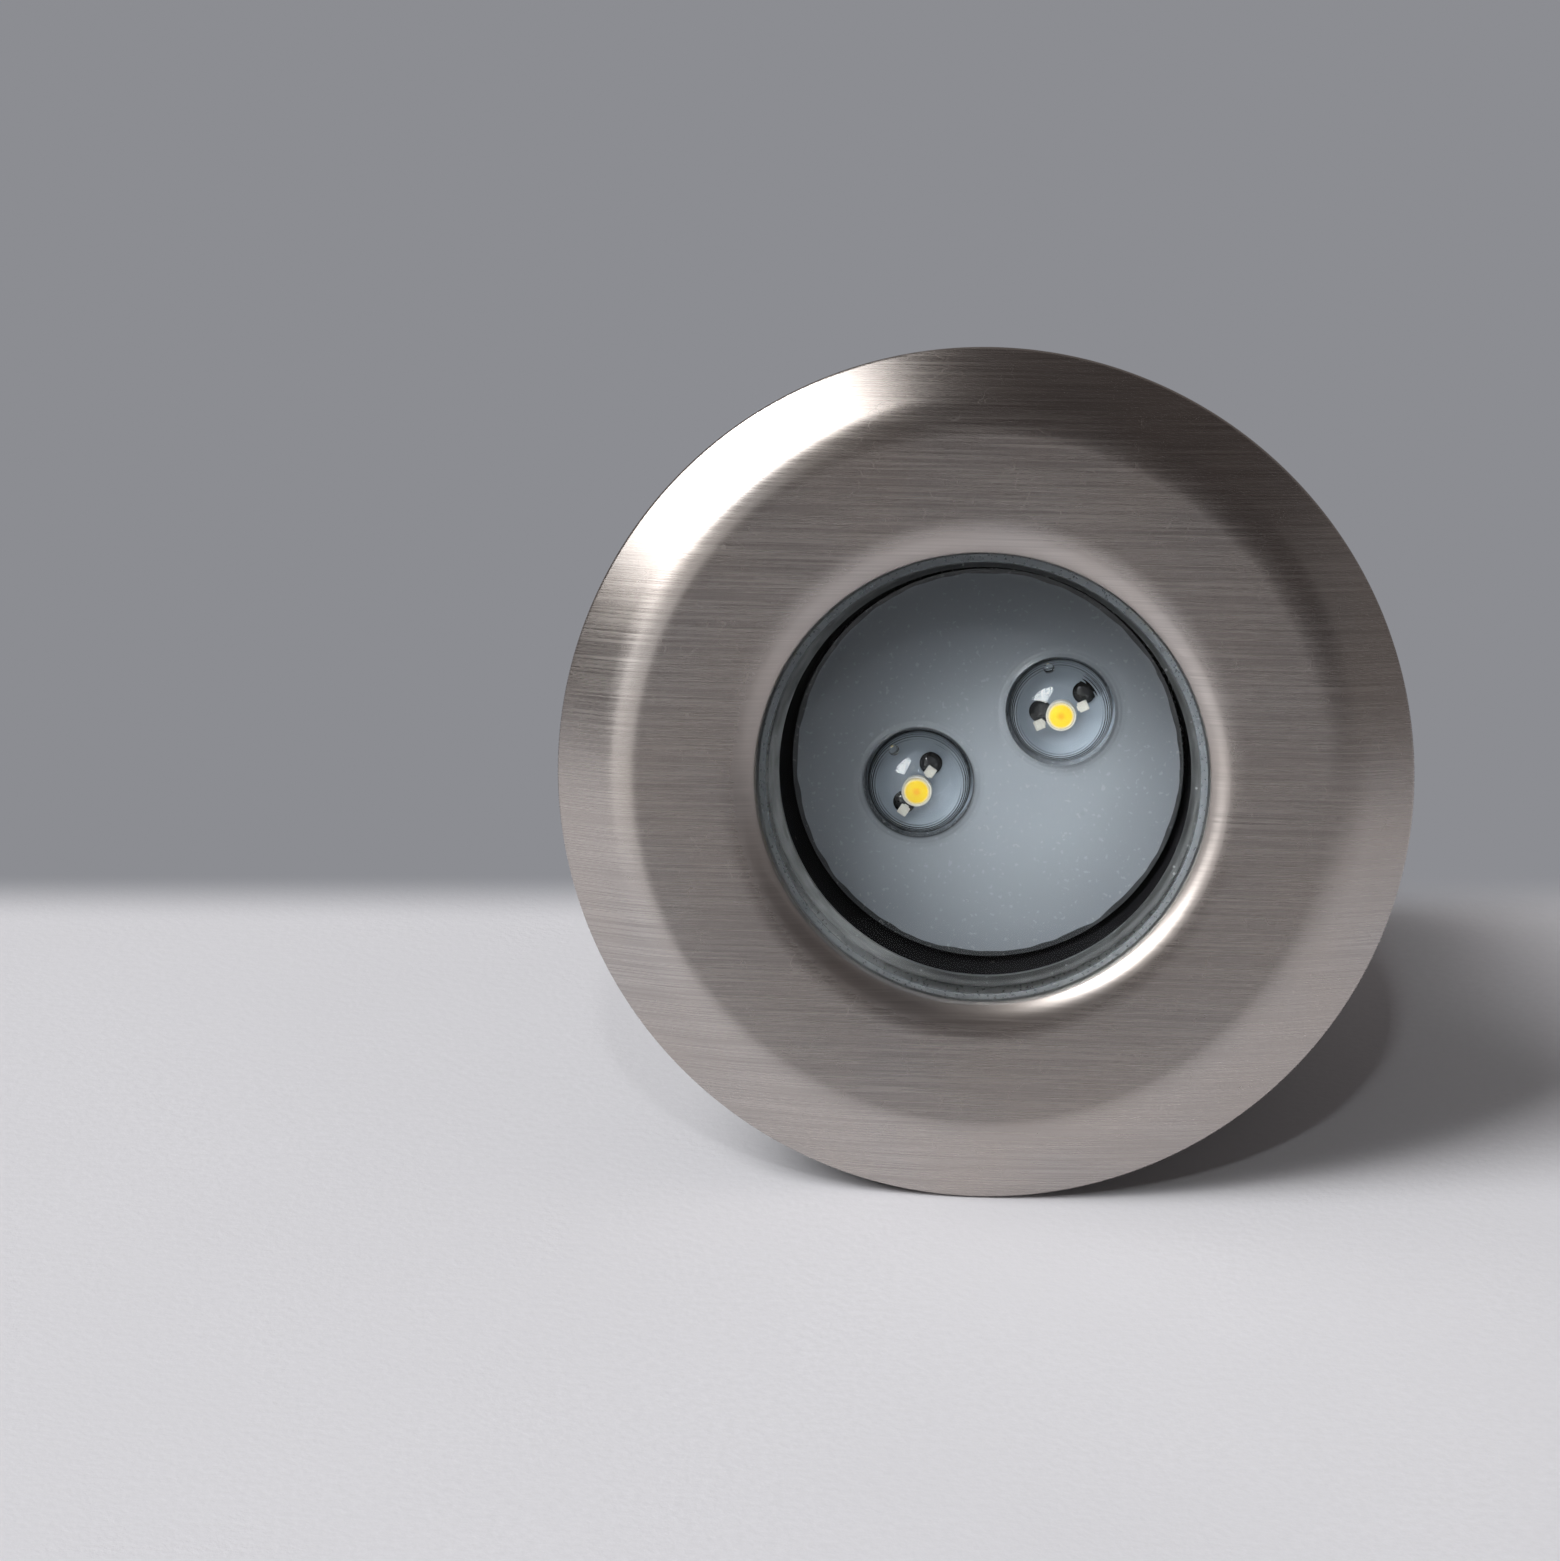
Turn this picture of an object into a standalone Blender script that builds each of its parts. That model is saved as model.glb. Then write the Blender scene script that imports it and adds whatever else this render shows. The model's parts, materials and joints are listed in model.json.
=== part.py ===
"""Recessed ground spotlight with two LEDs under clear caps, as an assembly of separate pieces.

Every piece is modelled about the lamp's own axis. There, local +Z points out of the glass, local +Y
points up the face, and z = 0 is the plane of the ground that the flange lies on. One empty then
leans the whole lamp back on its rim and on the rear ends of its two lowest ribs, with its face
towards -Y and the floor at z = 0. All lengths are in metres.
"""

import math

import bmesh
import bpy
import numpy as np
from mathutils import Matrix, Vector

# Fits shared by all pieces
FIT = 0.0003  # clearance between pieces that touch
OVERRUN = 0.001  # how far a cut runs past the face that it opens
BITE = 0.0004  # how far joined shapes reach into each other
WELD = 0.000001

# Bezel: a pressed sheet ring with a rolled lip, a flat face and a sloped border
LIP_RADIUS = 0.0264
FACE_WIDTH = 0.0162  # from the lip to the border
BORDER_WIDTH = 0.0074
SHEET = 0.0012
LIP_BEND = 0.0030
BORDER_BEND = 0.0030
RIM_EDGE = 0.0010
RIM_EDGE_ROUND = 0.0005

# Carrier that backs the bezel, and the flange that it is screwed to
CARRIER_THICKNESS = 0.0019
CARRIER_SETBACK = 0.0006  # of its edge from the flange's
FLANGE_THICKNESS = 0.0018
FLANGE_SETBACK = 0.0050  # of the flange's edge from the bezel's
CARRIER_SCREW_COUNT = 4
CARRIER_SCREW_SETOUT = 0.0018  # of the screws' circle from the housing's wall
CARRIER_BOSS_RADIUS = 0.0028
CARRIER_BOSS_LENGTH = 0.0110

# Glass: a thick stepped disc on a gasket
GLASS_THICKNESS = 0.0080
GLASS_RISE = 0.0012  # of its top above its step
GLASS_STEP_WIDTH = 0.0041
GLASS_CHAMFER = 0.0008
GASKET_THICKNESS = 0.0015
GASKET_WALL = 0.0014
GASKET_WALL_GAP = 0.0006

# Light well: a moulded cup that the glass, the potting and the LED board sit in
WELL_SETBACK = 0.0023  # of its wall from the bezel's lip
WELL_DRAFT = 0.0009
WELL_FLOOR = 0.0022
TUBE_WALL = 0.0018
LEDGE_WIDTH = 0.0028
LEDGE_THICKNESS = 0.0020
GUSSET_COUNT = 4
GUSSET_WIDTH = 0.0016
GUSSET_HEIGHT = 0.0090
GUSSET_EDGE = 0.0010

# Housing: a moulded barrel with a flange, a seal groove, screw bosses and centring ribs
POCKET_WALL = 0.0020
HOUSING_DRAFT = 0.0005
HOUSING_WALL = 0.0022
HOUSING_ROUND = 0.0012
RIB_COUNT = 8
RIB_HEIGHT = 0.0043
RIB_WIDTH = 0.0024
RIB_SETBACK = 0.0040  # of the ribs' front ends from the seal
RIB_LEAD = 0.0030
SEAL_SETBACK = 0.0040  # of the sleeve O-ring from the screw bosses
SEAL_SECTION = 0.0013
SEAL_GROOVE = 0.0015

# Light engine: potting, caps, LEDs and their board
WELL_GAP = 0.0090  # from the glass to the potting
POTTING_DEPTH = 0.0052
MENISCUS_RISE = 0.0008
MENISCUS_WIDTH = 0.0016
CAP_RADIUS = 0.0061
CAP_WALL = 0.0008
CAP_STRAIGHT = 0.0042
LED_SPACING = 0.0192
LED_LINE_ANGLE = math.radians(29.3)
LED_PAIR_RAISE = 0.0007
LED_BASE_RADIUS = 0.0018
LED_BASE_HEIGHT = 0.0016
LED_CUP_WALL = 0.0002
LED_CUP_DEPTH = 0.0007
PHOSPHOR_HEIGHT = 0.0005
PHOSPHOR_CROWN = 0.0002
BUSH_RADIUS = 0.0012
BUSH_HEIGHT = 0.0005
TAB_REACH_SHARE = 0.53  # from the LED's centre to the middle of a tab, of the cap's inner radius
TAB_SIDE = 0.0012
TAB_THICKNESS = 0.0004
TAB_SINK = 0.0004  # of a tab under the top of its LED
NECK_WIDTH = 0.0006
NECK_LENGTH = 0.0001
BOARD_MARGIN = 0.0006
LED_BOARD_THICKNESS = 0.0016
BOARD_SCREW_SETBACK = 0.0055  # of the board screws' circle from the ledge

# Heat sink behind the LED board, and the wires that pass it
SINK_BASE = 0.0040
FIN_LENGTH = 0.0076
FIN_THICKNESS = 0.0015
FIN_EDGE = 0.0015
FIN_COUNT = 7
WIRE_RADIUS = 0.0007
WIRE_BORE_RADIUS = 0.0014
WIRE_SETBACK = 0.0065
WIRE_SWAY = 0.0025

# Driver on the posts of the rear cover
DRIVER_SETBACK = 0.0022  # of its edge from the cover screws' circle
DRIVER_THICKNESS = 0.0016
DRIVER_GAP = 0.0020  # from its tallest part to the heat sink
CABLE_ROOM = 0.0033  # from the terminal block to the gland
POST_COUNT = 3
POST_SETBACK = 0.0028  # of the posts' circle from the driver board's edge
POST_RADIUS = 0.0024
CAPACITOR_RADIUS = 0.0040
CAPACITOR_HEIGHT = 0.0108
CAPACITOR_ROUND = 0.0005
CAPACITOR_NECK = 0.0004
CAPACITOR_NECK_PLACE = 0.0014
CHOKE_RADIUS = 0.0045
CHOKE_HEIGHT = 0.0060
CHOKE_FLANGE = 0.0010
CHOKE_WINDING_SINK = 0.0007
PART_REACH = 0.0075  # sideways from the driver's centre to the capacitor and the choke
PART_DROP = 0.0060
RECTIFIER_SIZE = (0.0070, 0.0060, 0.0026)
TERMINAL_SIZE = (0.0120, 0.0080, 0.0090)
TERMINAL_ENTRY = 0.0030
TERMINAL_ENTRY_DEPTH = 0.0050
TERMINAL_ENTRIES = 2
CHAMFER = 0.0004

# Rear cover, its seal and its screws
COVER_THICKNESS = 0.0030
COVER_ROUND = 0.0012
SPIGOT_LENGTH = 0.0045
SPIGOT_WALL = 0.0022
COVER_SEAL_SECTION = 0.0007
COVER_GROOVE_DEPTH = 0.0015
COVER_GROOVE_WIDTH = 0.0020
COVER_SCREW_COUNT = 4
COVER_BOSS_RADIUS = 0.0032
COVER_BOSS_GAP = 0.0009  # to the spigot
COVER_BOSS_SETBACK = 0.0013  # behind the driver board

# Screws: head radius, shank radius, length under the head's top, head height, socket radius
CARRIER_SCREW = (0.0024, 0.0013, 0.0100, 0.0013, 0.0010)
BOARD_SCREW = (0.0022, 0.0012, 0.0048, 0.0011, 0.0009)
COVER_SCREW = (0.0027, 0.0015, 0.0140, 0.0015, 0.0012)
DRIVER_SCREW = (0.0021, 0.0011, 0.0060, 0.0013, 0.0009)
SOCKET_SHARE = 0.55  # of the head height
SCREW_END_MARGIN = 0.0008

# Cable gland
GLAND_RADIUS = 0.0080
GLAND_WALL = 0.0028
GLAND_INNER_LENGTH = 0.0080
GLAND_OUTER_LENGTH = 0.0070
COLLAR_LENGTH = 0.0045
COLLAR_LAP = 0.0015  # of its corners past the washer
WASHER_THICKNESS = 0.0015
WASHER_WIDTH = 0.0032
LOCKNUT_WIDTH = 0.0042
LOCKNUT_THICKNESS = 0.0035
NUT_WALL = 0.0017
NUT_FLAT_RISE = 0.0002  # of the nut's flats over its dome
NUT_HEX_LENGTH = 0.0055
NUT_DOME_LENGTH = 0.0068
NUT_ROUND = 0.0030
NUT_END_WALL = 0.0016
INSERT_WALL = 0.0007
INSERT_DEPTH = 0.0060

# Facets
RING_STEPS = 40
BEZEL_STEPS = 56
SEAL_STEPS = 36
CAP_STEPS = 20
SMALL_STEPS = 14
SCREW_STEPS = 8
HEX_STEPS = 6
SEAL_SIDES = 6
DOME_STEPS = 5
WIRE_POINTS = 14
ARC_TURN = math.radians(30)  # turned by one facet of a fillet
COARSE_TURN = math.radians(45)
SMOOTH_ANGLE = math.radians(35)

# Where the two LEDs' caps and lead bushes lie, as shares of the cap's radius and of TAB_REACH
SIDE_NAMES = ("left", "right")
LEAD_ANGLES = (math.radians(57), math.radians(25))
CAP_SHIFT_SHARES = ((0.06, 0.25), (0.0, 0.16))
BUSH_SHIFT_SHARES = (0.29, 0.50)

# Heights that follow from the sizes above
LIP_END = FLANGE_THICKNESS + FIT
CARRIER_TOP = LIP_END + CARRIER_THICKNESS
FACE_HEIGHT = CARRIER_TOP + FIT + SHEET
GLASS_STEP = FLANGE_THICKNESS
GLASS_TOP = GLASS_STEP + GLASS_RISE
GLASS_BOTTOM = GLASS_TOP - GLASS_THICKNESS
GASKET_TOP = GLASS_BOTTOM - FIT
GASKET_BOTTOM = GASKET_TOP - GASKET_THICKNESS
WELL_TOP = GASKET_BOTTOM - FIT
WELL_SEAT = WELL_TOP - WELL_FLOOR
POTTING_TOP = GLASS_BOTTOM - WELL_GAP
POTTING_BOTTOM = POTTING_TOP - POTTING_DEPTH
BOARD_TOP = POTTING_BOTTOM - FIT
BOARD_BOTTOM = BOARD_TOP - LED_BOARD_THICKNESS
LEDGE_TOP = BOARD_BOTTOM - FIT
LEDGE_BOTTOM = LEDGE_TOP - LEDGE_THICKNESS
BUSH_BOTTOM = BOARD_TOP + FIT
LED_BOTTOM = BUSH_BOTTOM + BUSH_HEIGHT + FIT
LED_TOP = LED_BOTTOM + LED_BASE_HEIGHT
SINK_BASE_END = LEDGE_TOP - SINK_BASE
SINK_END = SINK_BASE_END - FIN_LENGTH
DRIVER_TOP = SINK_END - DRIVER_GAP - CAPACITOR_HEIGHT - FIT
DRIVER_BOTTOM = DRIVER_TOP - DRIVER_THICKNESS
TERMINAL_END = DRIVER_BOTTOM - FIT - TERMINAL_SIZE[2]
COVER_TOP = TERMINAL_END - CABLE_ROOM - GLAND_INNER_LENGTH
HOUSING_END = COVER_TOP + FIT
COVER_BOTTOM = COVER_TOP - COVER_THICKNESS
SPIGOT_TOP = COVER_TOP + SPIGOT_LENGTH
COVER_SEAL_PLACE = (COVER_TOP + SPIGOT_TOP) / 2
COVER_BOSS_TOP = DRIVER_BOTTOM - COVER_BOSS_SETBACK
SEAL_PLACE = -CARRIER_BOSS_LENGTH - SEAL_SETBACK
RIB_TOP = SEAL_PLACE - RIB_SETBACK
WASHER_TOP = COVER_BOTTOM - FIT
WASHER_BOTTOM = WASHER_TOP - WASHER_THICKNESS
COLLAR_TOP = WASHER_BOTTOM - FIT
COLLAR_BOTTOM = COLLAR_TOP - COLLAR_LENGTH
GLAND_END = COLLAR_BOTTOM - GLAND_OUTER_LENGTH
NUT_TOP = COLLAR_BOTTOM - FIT
NUT_END = NUT_TOP - NUT_HEX_LENGTH - NUT_DOME_LENGTH

# Radii that follow from the sizes above
SLOPE_TOP_RADIUS = LIP_RADIUS + FACE_WIDTH
RIM_RADIUS = SLOPE_TOP_RADIUS + BORDER_WIDTH
FLANGE_RADIUS = RIM_RADIUS - FLANGE_SETBACK
CARRIER_RADIUS = FLANGE_RADIUS - CARRIER_SETBACK
GLASS_FLANGE_RADIUS = LIP_RADIUS + GLASS_STEP_WIDTH
GASKET_RADIUS = GLASS_FLANGE_RADIUS + FIT + GASKET_WALL
POCKET_RADIUS = GASKET_RADIUS + FIT
WELL_RADIUS = LIP_RADIUS - WELL_SETBACK
WELL_END_RADIUS = WELL_RADIUS - WELL_DRAFT
LEDGE_RADIUS = WELL_END_RADIUS - LEDGE_WIDTH
LED_BOARD_RADIUS = WELL_END_RADIUS - BOARD_MARGIN
BOARD_SCREW_CIRCLE = LEDGE_RADIUS - BOARD_SCREW_SETBACK
SINK_RADIUS = LEDGE_RADIUS - FIT
FIN_PITCH = (SINK_RADIUS - FIN_THICKNESS / 2 - FIN_EDGE) * 2 / (FIN_COUNT - 1)
WIRE_REACH = LEDGE_RADIUS - WIRE_SETBACK
HOUSING_TOP_RADIUS = POCKET_RADIUS + POCKET_WALL
HOUSING_END_RADIUS = HOUSING_TOP_RADIUS - HOUSING_DRAFT
HOUSING_BORE = HOUSING_END_RADIUS - HOUSING_WALL
RIB_RADIUS = HOUSING_TOP_RADIUS + RIB_HEIGHT
CARRIER_SCREW_CIRCLE = HOUSING_TOP_RADIUS + CARRIER_SCREW_SETOUT
SPIGOT_RADIUS = HOUSING_BORE - FIT
SPIGOT_BORE = SPIGOT_RADIUS - SPIGOT_WALL
COVER_SCREW_CIRCLE = SPIGOT_BORE - COVER_BOSS_GAP - COVER_BOSS_RADIUS
DRIVER_RADIUS = COVER_SCREW_CIRCLE - DRIVER_SETBACK
POST_CIRCLE = DRIVER_RADIUS - POST_SETBACK
TAB_REACH = TAB_REACH_SHARE * (CAP_RADIUS - CAP_WALL)
GLAND_BORE = GLAND_RADIUS - GLAND_WALL
INSERT_RADIUS = GLAND_BORE - FIT
INSERT_BORE = INSERT_RADIUS - INSERT_WALL
WASHER_RADIUS = GLAND_RADIUS + WASHER_WIDTH
COLLAR_RADIUS = WASHER_RADIUS + COLLAR_LAP
LOCKNUT_RADIUS = GLAND_RADIUS + LOCKNUT_WIDTH
NUT_BORE = GLAND_RADIUS + FIT
NUT_OUTSIDE = NUT_BORE + NUT_WALL
NUT_RADIUS = (NUT_OUTSIDE + NUT_FLAT_RISE) / math.cos(math.pi / HEX_STEPS)

# How the lamp leans on its rim and its two lowest ribs
RIM_REACH = RIM_RADIUS * math.cos(math.pi / BEZEL_STEPS)
RIB_HALF_ANGLE = math.pi / RIB_COUNT
RIB_REACH = RIB_RADIUS * math.cos(RIB_HALF_ANGLE) + RIB_WIDTH / 2 * math.sin(RIB_HALF_ANGLE)
LEAN = math.atan2(RIM_REACH - RIB_REACH, -HOUSING_END)


def clear_scene():
    for item in list(bpy.data.objects):
        bpy.data.objects.remove(item, do_unlink=True)


def finish(name, colour, roughness, metallic=0.0, transmission=0.0):
    """A Principled BSDF material, made once for each name."""
    material = bpy.data.materials.get(name)
    if material is None:
        material = bpy.data.materials.new(name)
        material.use_nodes = True
        shader = material.node_tree.nodes["Principled BSDF"]
        shader.inputs["Base Color"].default_value = (*colour, 1.0)
        shader.inputs["Roughness"].default_value = roughness
        shader.inputs["Metallic"].default_value = metallic
        shader.inputs["Transmission Weight"].default_value = transmission
        material.diffuse_color = (*colour, 1.0)
    return material


def steel():
    return finish("brushed_steel", (0.50, 0.46, 0.43), 0.32, metallic=1.0)


def zinc():
    return finish("plated_screw", (0.62, 0.61, 0.58), 0.35, metallic=1.0)


def black_nylon():
    return finish("black_nylon", (0.012, 0.012, 0.013), 0.5)


def grey_nylon():
    return finish("grey_nylon", (0.10, 0.10, 0.105), 0.5)


def rubber():
    return finish("black_rubber", (0.020, 0.020, 0.021), 0.75)


def silicone():
    return finish("grey_silicone", (0.16, 0.17, 0.17), 0.5)


def clear_glass():
    return finish("clear_glass", (0.86, 0.90, 0.89), 0.02, transmission=1.0)


def clear_plastic():
    return finish("clear_plastic", (0.95, 0.96, 0.97), 0.04, transmission=1.0)


def potting_resin():
    return finish("potting_resin", (0.22, 0.24, 0.27), 0.35)


def aluminium():
    return finish("aluminium", (0.60, 0.61, 0.62), 0.4, metallic=1.0)


def green_board():
    return finish("green_board", (0.03, 0.14, 0.07), 0.45)


def rounded(corners, facet_turn=ARC_TURN):
    """The outline through corners given as (radius, height) or (radius, height, fillet).

    A fillet becomes an arc that is tangent to both sides of its corner, with a facet for every
    facet_turn that it turns.
    """
    points = []
    places = [np.array(corner[:2]) for corner in corners]
    for index, corner in enumerate(corners):
        here = places[index]
        if len(corner) == 2:
            points.append(here)
            continue
        before = places[index - 1] - here
        after = places[(index + 1) % len(corners)] - here
        before = before / np.linalg.norm(before)
        after = after / np.linalg.norm(after)
        half = math.acos(float(before @ after)) / 2
        middle = (before + after) / np.linalg.norm(before + after)
        centre = here + middle * corner[2] / math.sin(half)
        start = here + before * corner[2] / math.tan(half) - centre
        end = here + after * corner[2] / math.tan(half) - centre
        turn = math.pi - 2 * half
        steps = max(1, round(turn / facet_turn))
        for step in range(steps + 1):
            share = step / steps
            arm = start * math.sin((1 - share) * turn) + end * math.sin(share * turn)
            points.append(centre + arm / math.sin(turn))
    return points


def revolve(work, outline, steps, place=(0, 0)):
    """Spins a closed outline of (radius, height) about an upright axis at place."""
    phase = math.pi / steps
    rim = [work.verts.new((r * math.cos(phase), r * math.sin(phase), z)) for r, z in outline]
    edges = []
    for index, vert in enumerate(rim):
        follows = (index + 1) % len(rim)
        if outline[index][0] > WELD or outline[follows][0] > WELD:
            edges.append(work.edges.new((vert, rim[follows])))
    before = set(work.verts) - set(rim)
    bmesh.ops.spin(
        work,
        geom=rim + edges,
        cent=(0, 0, 0),
        axis=(0, 0, 1),
        angle=2 * math.pi,
        steps=steps,
        use_merge=True,
    )
    made = [vert for vert in work.verts if vert not in before]
    bmesh.ops.remove_doubles(work, verts=made, dist=WELD)
    made = [vert for vert in work.verts if vert not in before]
    bmesh.ops.translate(work, verts=made, vec=(*place, 0))


def place_in_scene(name, work, material, root):
    """Makes an object of a bmesh, shaded smooth up to a sharp angle."""
    bmesh.ops.recalc_face_normals(work, faces=work.faces)
    mesh = bpy.data.meshes.new(name)
    work.to_mesh(mesh)
    work.free()
    mesh.shade_smooth()
    mesh.set_sharp_from_angle(angle=SMOOTH_ANGLE)
    if material:
        mesh.materials.append(material)
    return add_object(name, mesh, root)


def add_object(name, mesh, root, location=(0, 0, 0)):
    made = bpy.data.objects.new(name, mesh)
    bpy.context.scene.collection.objects.link(made)
    made.parent = root
    made.location = location
    return made


def turned(name, outline, steps, material, root, places=((0, 0),)):
    """A turned piece. With several places it becomes as many separate bodies in one helper mesh."""
    work = bmesh.new()
    for place in places:
        revolve(work, outline, steps, place)
    return place_in_scene(name, work, material, root)


def box(work, size, centre, turn=0.0):
    """A box about centre, turned about the lamp's axis."""
    spot = Matrix.Rotation(turn, 4, "Z") @ Matrix.Translation(centre)
    bmesh.ops.create_cube(work, size=1, matrix=spot @ Matrix.Diagonal((*size, 1)))


def boxes(name, size, centre, turns, material, root):
    work = bmesh.new()
    for turn in turns:
        box(work, size, centre, turn)
    return place_in_scene(name, work, material, root)


def extruded(work, outline, thickness, turn=0.0):
    """A plate whose outline lies in the plane of radius and height, turned about the lamp's axis."""
    verts = [work.verts.new((radius, -thickness / 2, height)) for radius, height in outline]
    face = work.faces.new(verts)
    pushed = bmesh.ops.extrude_face_region(work, geom=[face])["geom"]
    moved = [part for part in pushed if isinstance(part, bmesh.types.BMVert)]
    bmesh.ops.translate(work, verts=moved, vec=(0, thickness, 0))
    bmesh.ops.rotate(work, verts=verts + moved, cent=(0, 0, 0), matrix=Matrix.Rotation(turn, 3, "Z"))


def combine(target, helper, operation):
    """Cuts helper from target, or joins it on, and keeps helper out of the render."""
    modifier = target.modifiers.new(helper.name, "BOOLEAN")
    modifier.operation = operation
    modifier.solver = "EXACT"
    modifier.object = helper
    helper.hide_render = True
    helper.display_type = "WIRE"


def cut(target, helper):
    combine(target, helper, "DIFFERENCE")


def join(target, helper):
    combine(target, helper, "UNION")


def turns_round(count, start=0.0):
    return [start + 2 * math.pi * index / count for index in range(count)]


def places_round(count, radius, start=0.0):
    return [(radius * math.cos(turn), radius * math.sin(turn)) for turn in turns_round(count, start)]


def ring(inner, outer, bottom, top):
    return [(inner, top), (outer, top), (outer, bottom), (inner, bottom)]


def rod(radius, bottom, top):
    return [(0, top), (radius, top), (radius, bottom), (0, bottom)]


def slope_angle():
    return math.atan2(FACE_HEIGHT - RIM_EDGE, RIM_RADIUS - SLOPE_TOP_RADIUS)


def slope_height(radius, depth):
    """Height of the surface that lies depth behind the bezel's sloped border."""
    return RIM_EDGE + (RIM_RADIUS - radius) * math.tan(slope_angle()) - depth / math.cos(slope_angle())


def slope_meets_face(depth):
    """Radius at which that surface meets the one that lies depth behind the flat face."""
    rise = FACE_HEIGHT - depth - RIM_EDGE + depth / math.cos(slope_angle())
    return RIM_RADIUS - rise / math.tan(slope_angle())


def make_bezel(root):
    inner_edge = slope_height(RIM_RADIUS - SHEET, SHEET)
    corners = [
        (LIP_RADIUS, LIP_END),
        (LIP_RADIUS, FACE_HEIGHT, LIP_BEND),
        (SLOPE_TOP_RADIUS, FACE_HEIGHT, BORDER_BEND),
        (RIM_RADIUS, RIM_EDGE, RIM_EDGE_ROUND),
        (RIM_RADIUS, 0),
        (RIM_RADIUS - SHEET, 0),
        (RIM_RADIUS - SHEET, inner_edge),
        (slope_meets_face(SHEET), FACE_HEIGHT - SHEET),
        (LIP_RADIUS + SHEET, FACE_HEIGHT - SHEET, LIP_BEND - SHEET),
        (LIP_RADIUS + SHEET, LIP_END),
    ]
    return turned("bezel", rounded(corners), BEZEL_STEPS, steel(), root)


def make_glass(root):
    top_radius = LIP_RADIUS - FIT
    corners = [
        (0, GLASS_TOP),
        (top_radius - GLASS_CHAMFER, GLASS_TOP),
        (top_radius, GLASS_TOP - GLASS_CHAMFER),
        (top_radius, GLASS_STEP),
        (GLASS_FLANGE_RADIUS, GLASS_STEP),
        (GLASS_FLANGE_RADIUS, GLASS_BOTTOM + GLASS_CHAMFER),
        (GLASS_FLANGE_RADIUS - GLASS_CHAMFER, GLASS_BOTTOM),
        (0, GLASS_BOTTOM),
    ]
    return turned("glass", rounded(corners), RING_STEPS, clear_glass(), root)


def make_glass_gasket(root):
    wall_radius = GLASS_FLANGE_RADIUS + FIT
    corners = [
        (WELL_RADIUS, GASKET_TOP),
        (wall_radius, GASKET_TOP),
        (wall_radius, GLASS_STEP - GASKET_WALL_GAP),
        (GASKET_RADIUS, GLASS_STEP - GASKET_WALL_GAP),
        (GASKET_RADIUS, GASKET_BOTTOM),
        (WELL_RADIUS, GASKET_BOTTOM),
    ]
    return turned("glass_gasket", rounded(corners), RING_STEPS, silicone(), root)


def screw_outline(sizes, top, clearance=0.0):
    """A countersunk screw with its head's top at the given height, or its hole when given a clearance."""
    head, shank, length, head_height, socket = sizes
    end = top - length - clearance * 2
    wide = head + clearance
    narrow = shank + clearance
    points = [(wide, top), (narrow, top - head_height), (narrow, end), (0, end)]
    if clearance:
        return [(0, top + OVERRUN), (wide, top + OVERRUN)] + points
    floor = top - head_height * SOCKET_SHARE
    return [(0, floor), (socket, floor), (socket, top)] + points


def pan_outline(sizes, seat, clearance=0.0):
    """A pan-head screw that sits on the given height, or the bore for its shank when given a clearance."""
    head, shank, length, head_height, socket = sizes
    if clearance:
        return rod(shank + clearance, seat - length - clearance, seat + OVERRUN)
    top = seat + FIT + head_height
    floor = top - head_height * SOCKET_SHARE
    under = seat + FIT
    corners = [(0, floor), (socket, floor), (socket, top), (head, top, head_height / 2), (head, under)]
    end = seat - length
    return rounded(corners + [(shank, under), (shank, end), (0, end)], COARSE_TURN)


def make_screws(name, outline, places, root):
    """One object for each place, all sharing a mesh."""
    first = turned(f"{name}_1", outline, SCREW_STEPS, zinc(), root)
    screws = [first]
    for number in range(2, len(places) + 1):
        screws.append(add_object(f"{name}_{number}", first.data, root))
    for screw, place in zip(screws, places):
        screw.location = (*place, 0)
    return screws


def carrier_screw_places():
    return places_round(CARRIER_SCREW_COUNT, CARRIER_SCREW_CIRCLE, RIB_HALF_ANGLE)


def make_bezel_carrier(root):
    """The moulded ring that backs the thin bezel and presses on the glass's step."""
    depth = SHEET + FIT
    inner = LIP_RADIUS + depth
    bevel = LIP_BEND - SHEET
    corners = [
        (inner, LIP_END),
        (inner, CARRIER_TOP - bevel),
        (inner + bevel, CARRIER_TOP),
        (slope_meets_face(depth), CARRIER_TOP),
        (CARRIER_RADIUS, slope_height(CARRIER_RADIUS, depth)),
        (CARRIER_RADIUS, LIP_END),
    ]
    carrier = turned("bezel_carrier", rounded(corners), RING_STEPS, black_nylon(), root)
    holes = screw_outline(CARRIER_SCREW, CARRIER_TOP, FIT)
    cut(carrier, turned("carrier_holes", holes, SCREW_STEPS, None, root, carrier_screw_places()))
    screw = screw_outline(CARRIER_SCREW, CARRIER_TOP)
    make_screws("carrier_screw", screw, carrier_screw_places(), root)
    return carrier


def cover_screw_places():
    return places_round(COVER_SCREW_COUNT, COVER_SCREW_CIRCLE, math.pi / COVER_SCREW_COUNT)


def make_gussets(root):
    """Three-cornered webs that stiffen the light well's floor against its tube."""
    inner = WELL_END_RADIUS + TUBE_WALL - BITE
    outer = HOUSING_BORE - GUSSET_EDGE
    top = WELL_SEAT + BITE
    outline = [(inner, top), (outer, top), (inner, top - GUSSET_HEIGHT)]
    work = bmesh.new()
    for turn in turns_round(GUSSET_COUNT):
        extruded(work, outline, GUSSET_WIDTH, turn)
    return place_in_scene("gussets", work, None, root)


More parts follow.
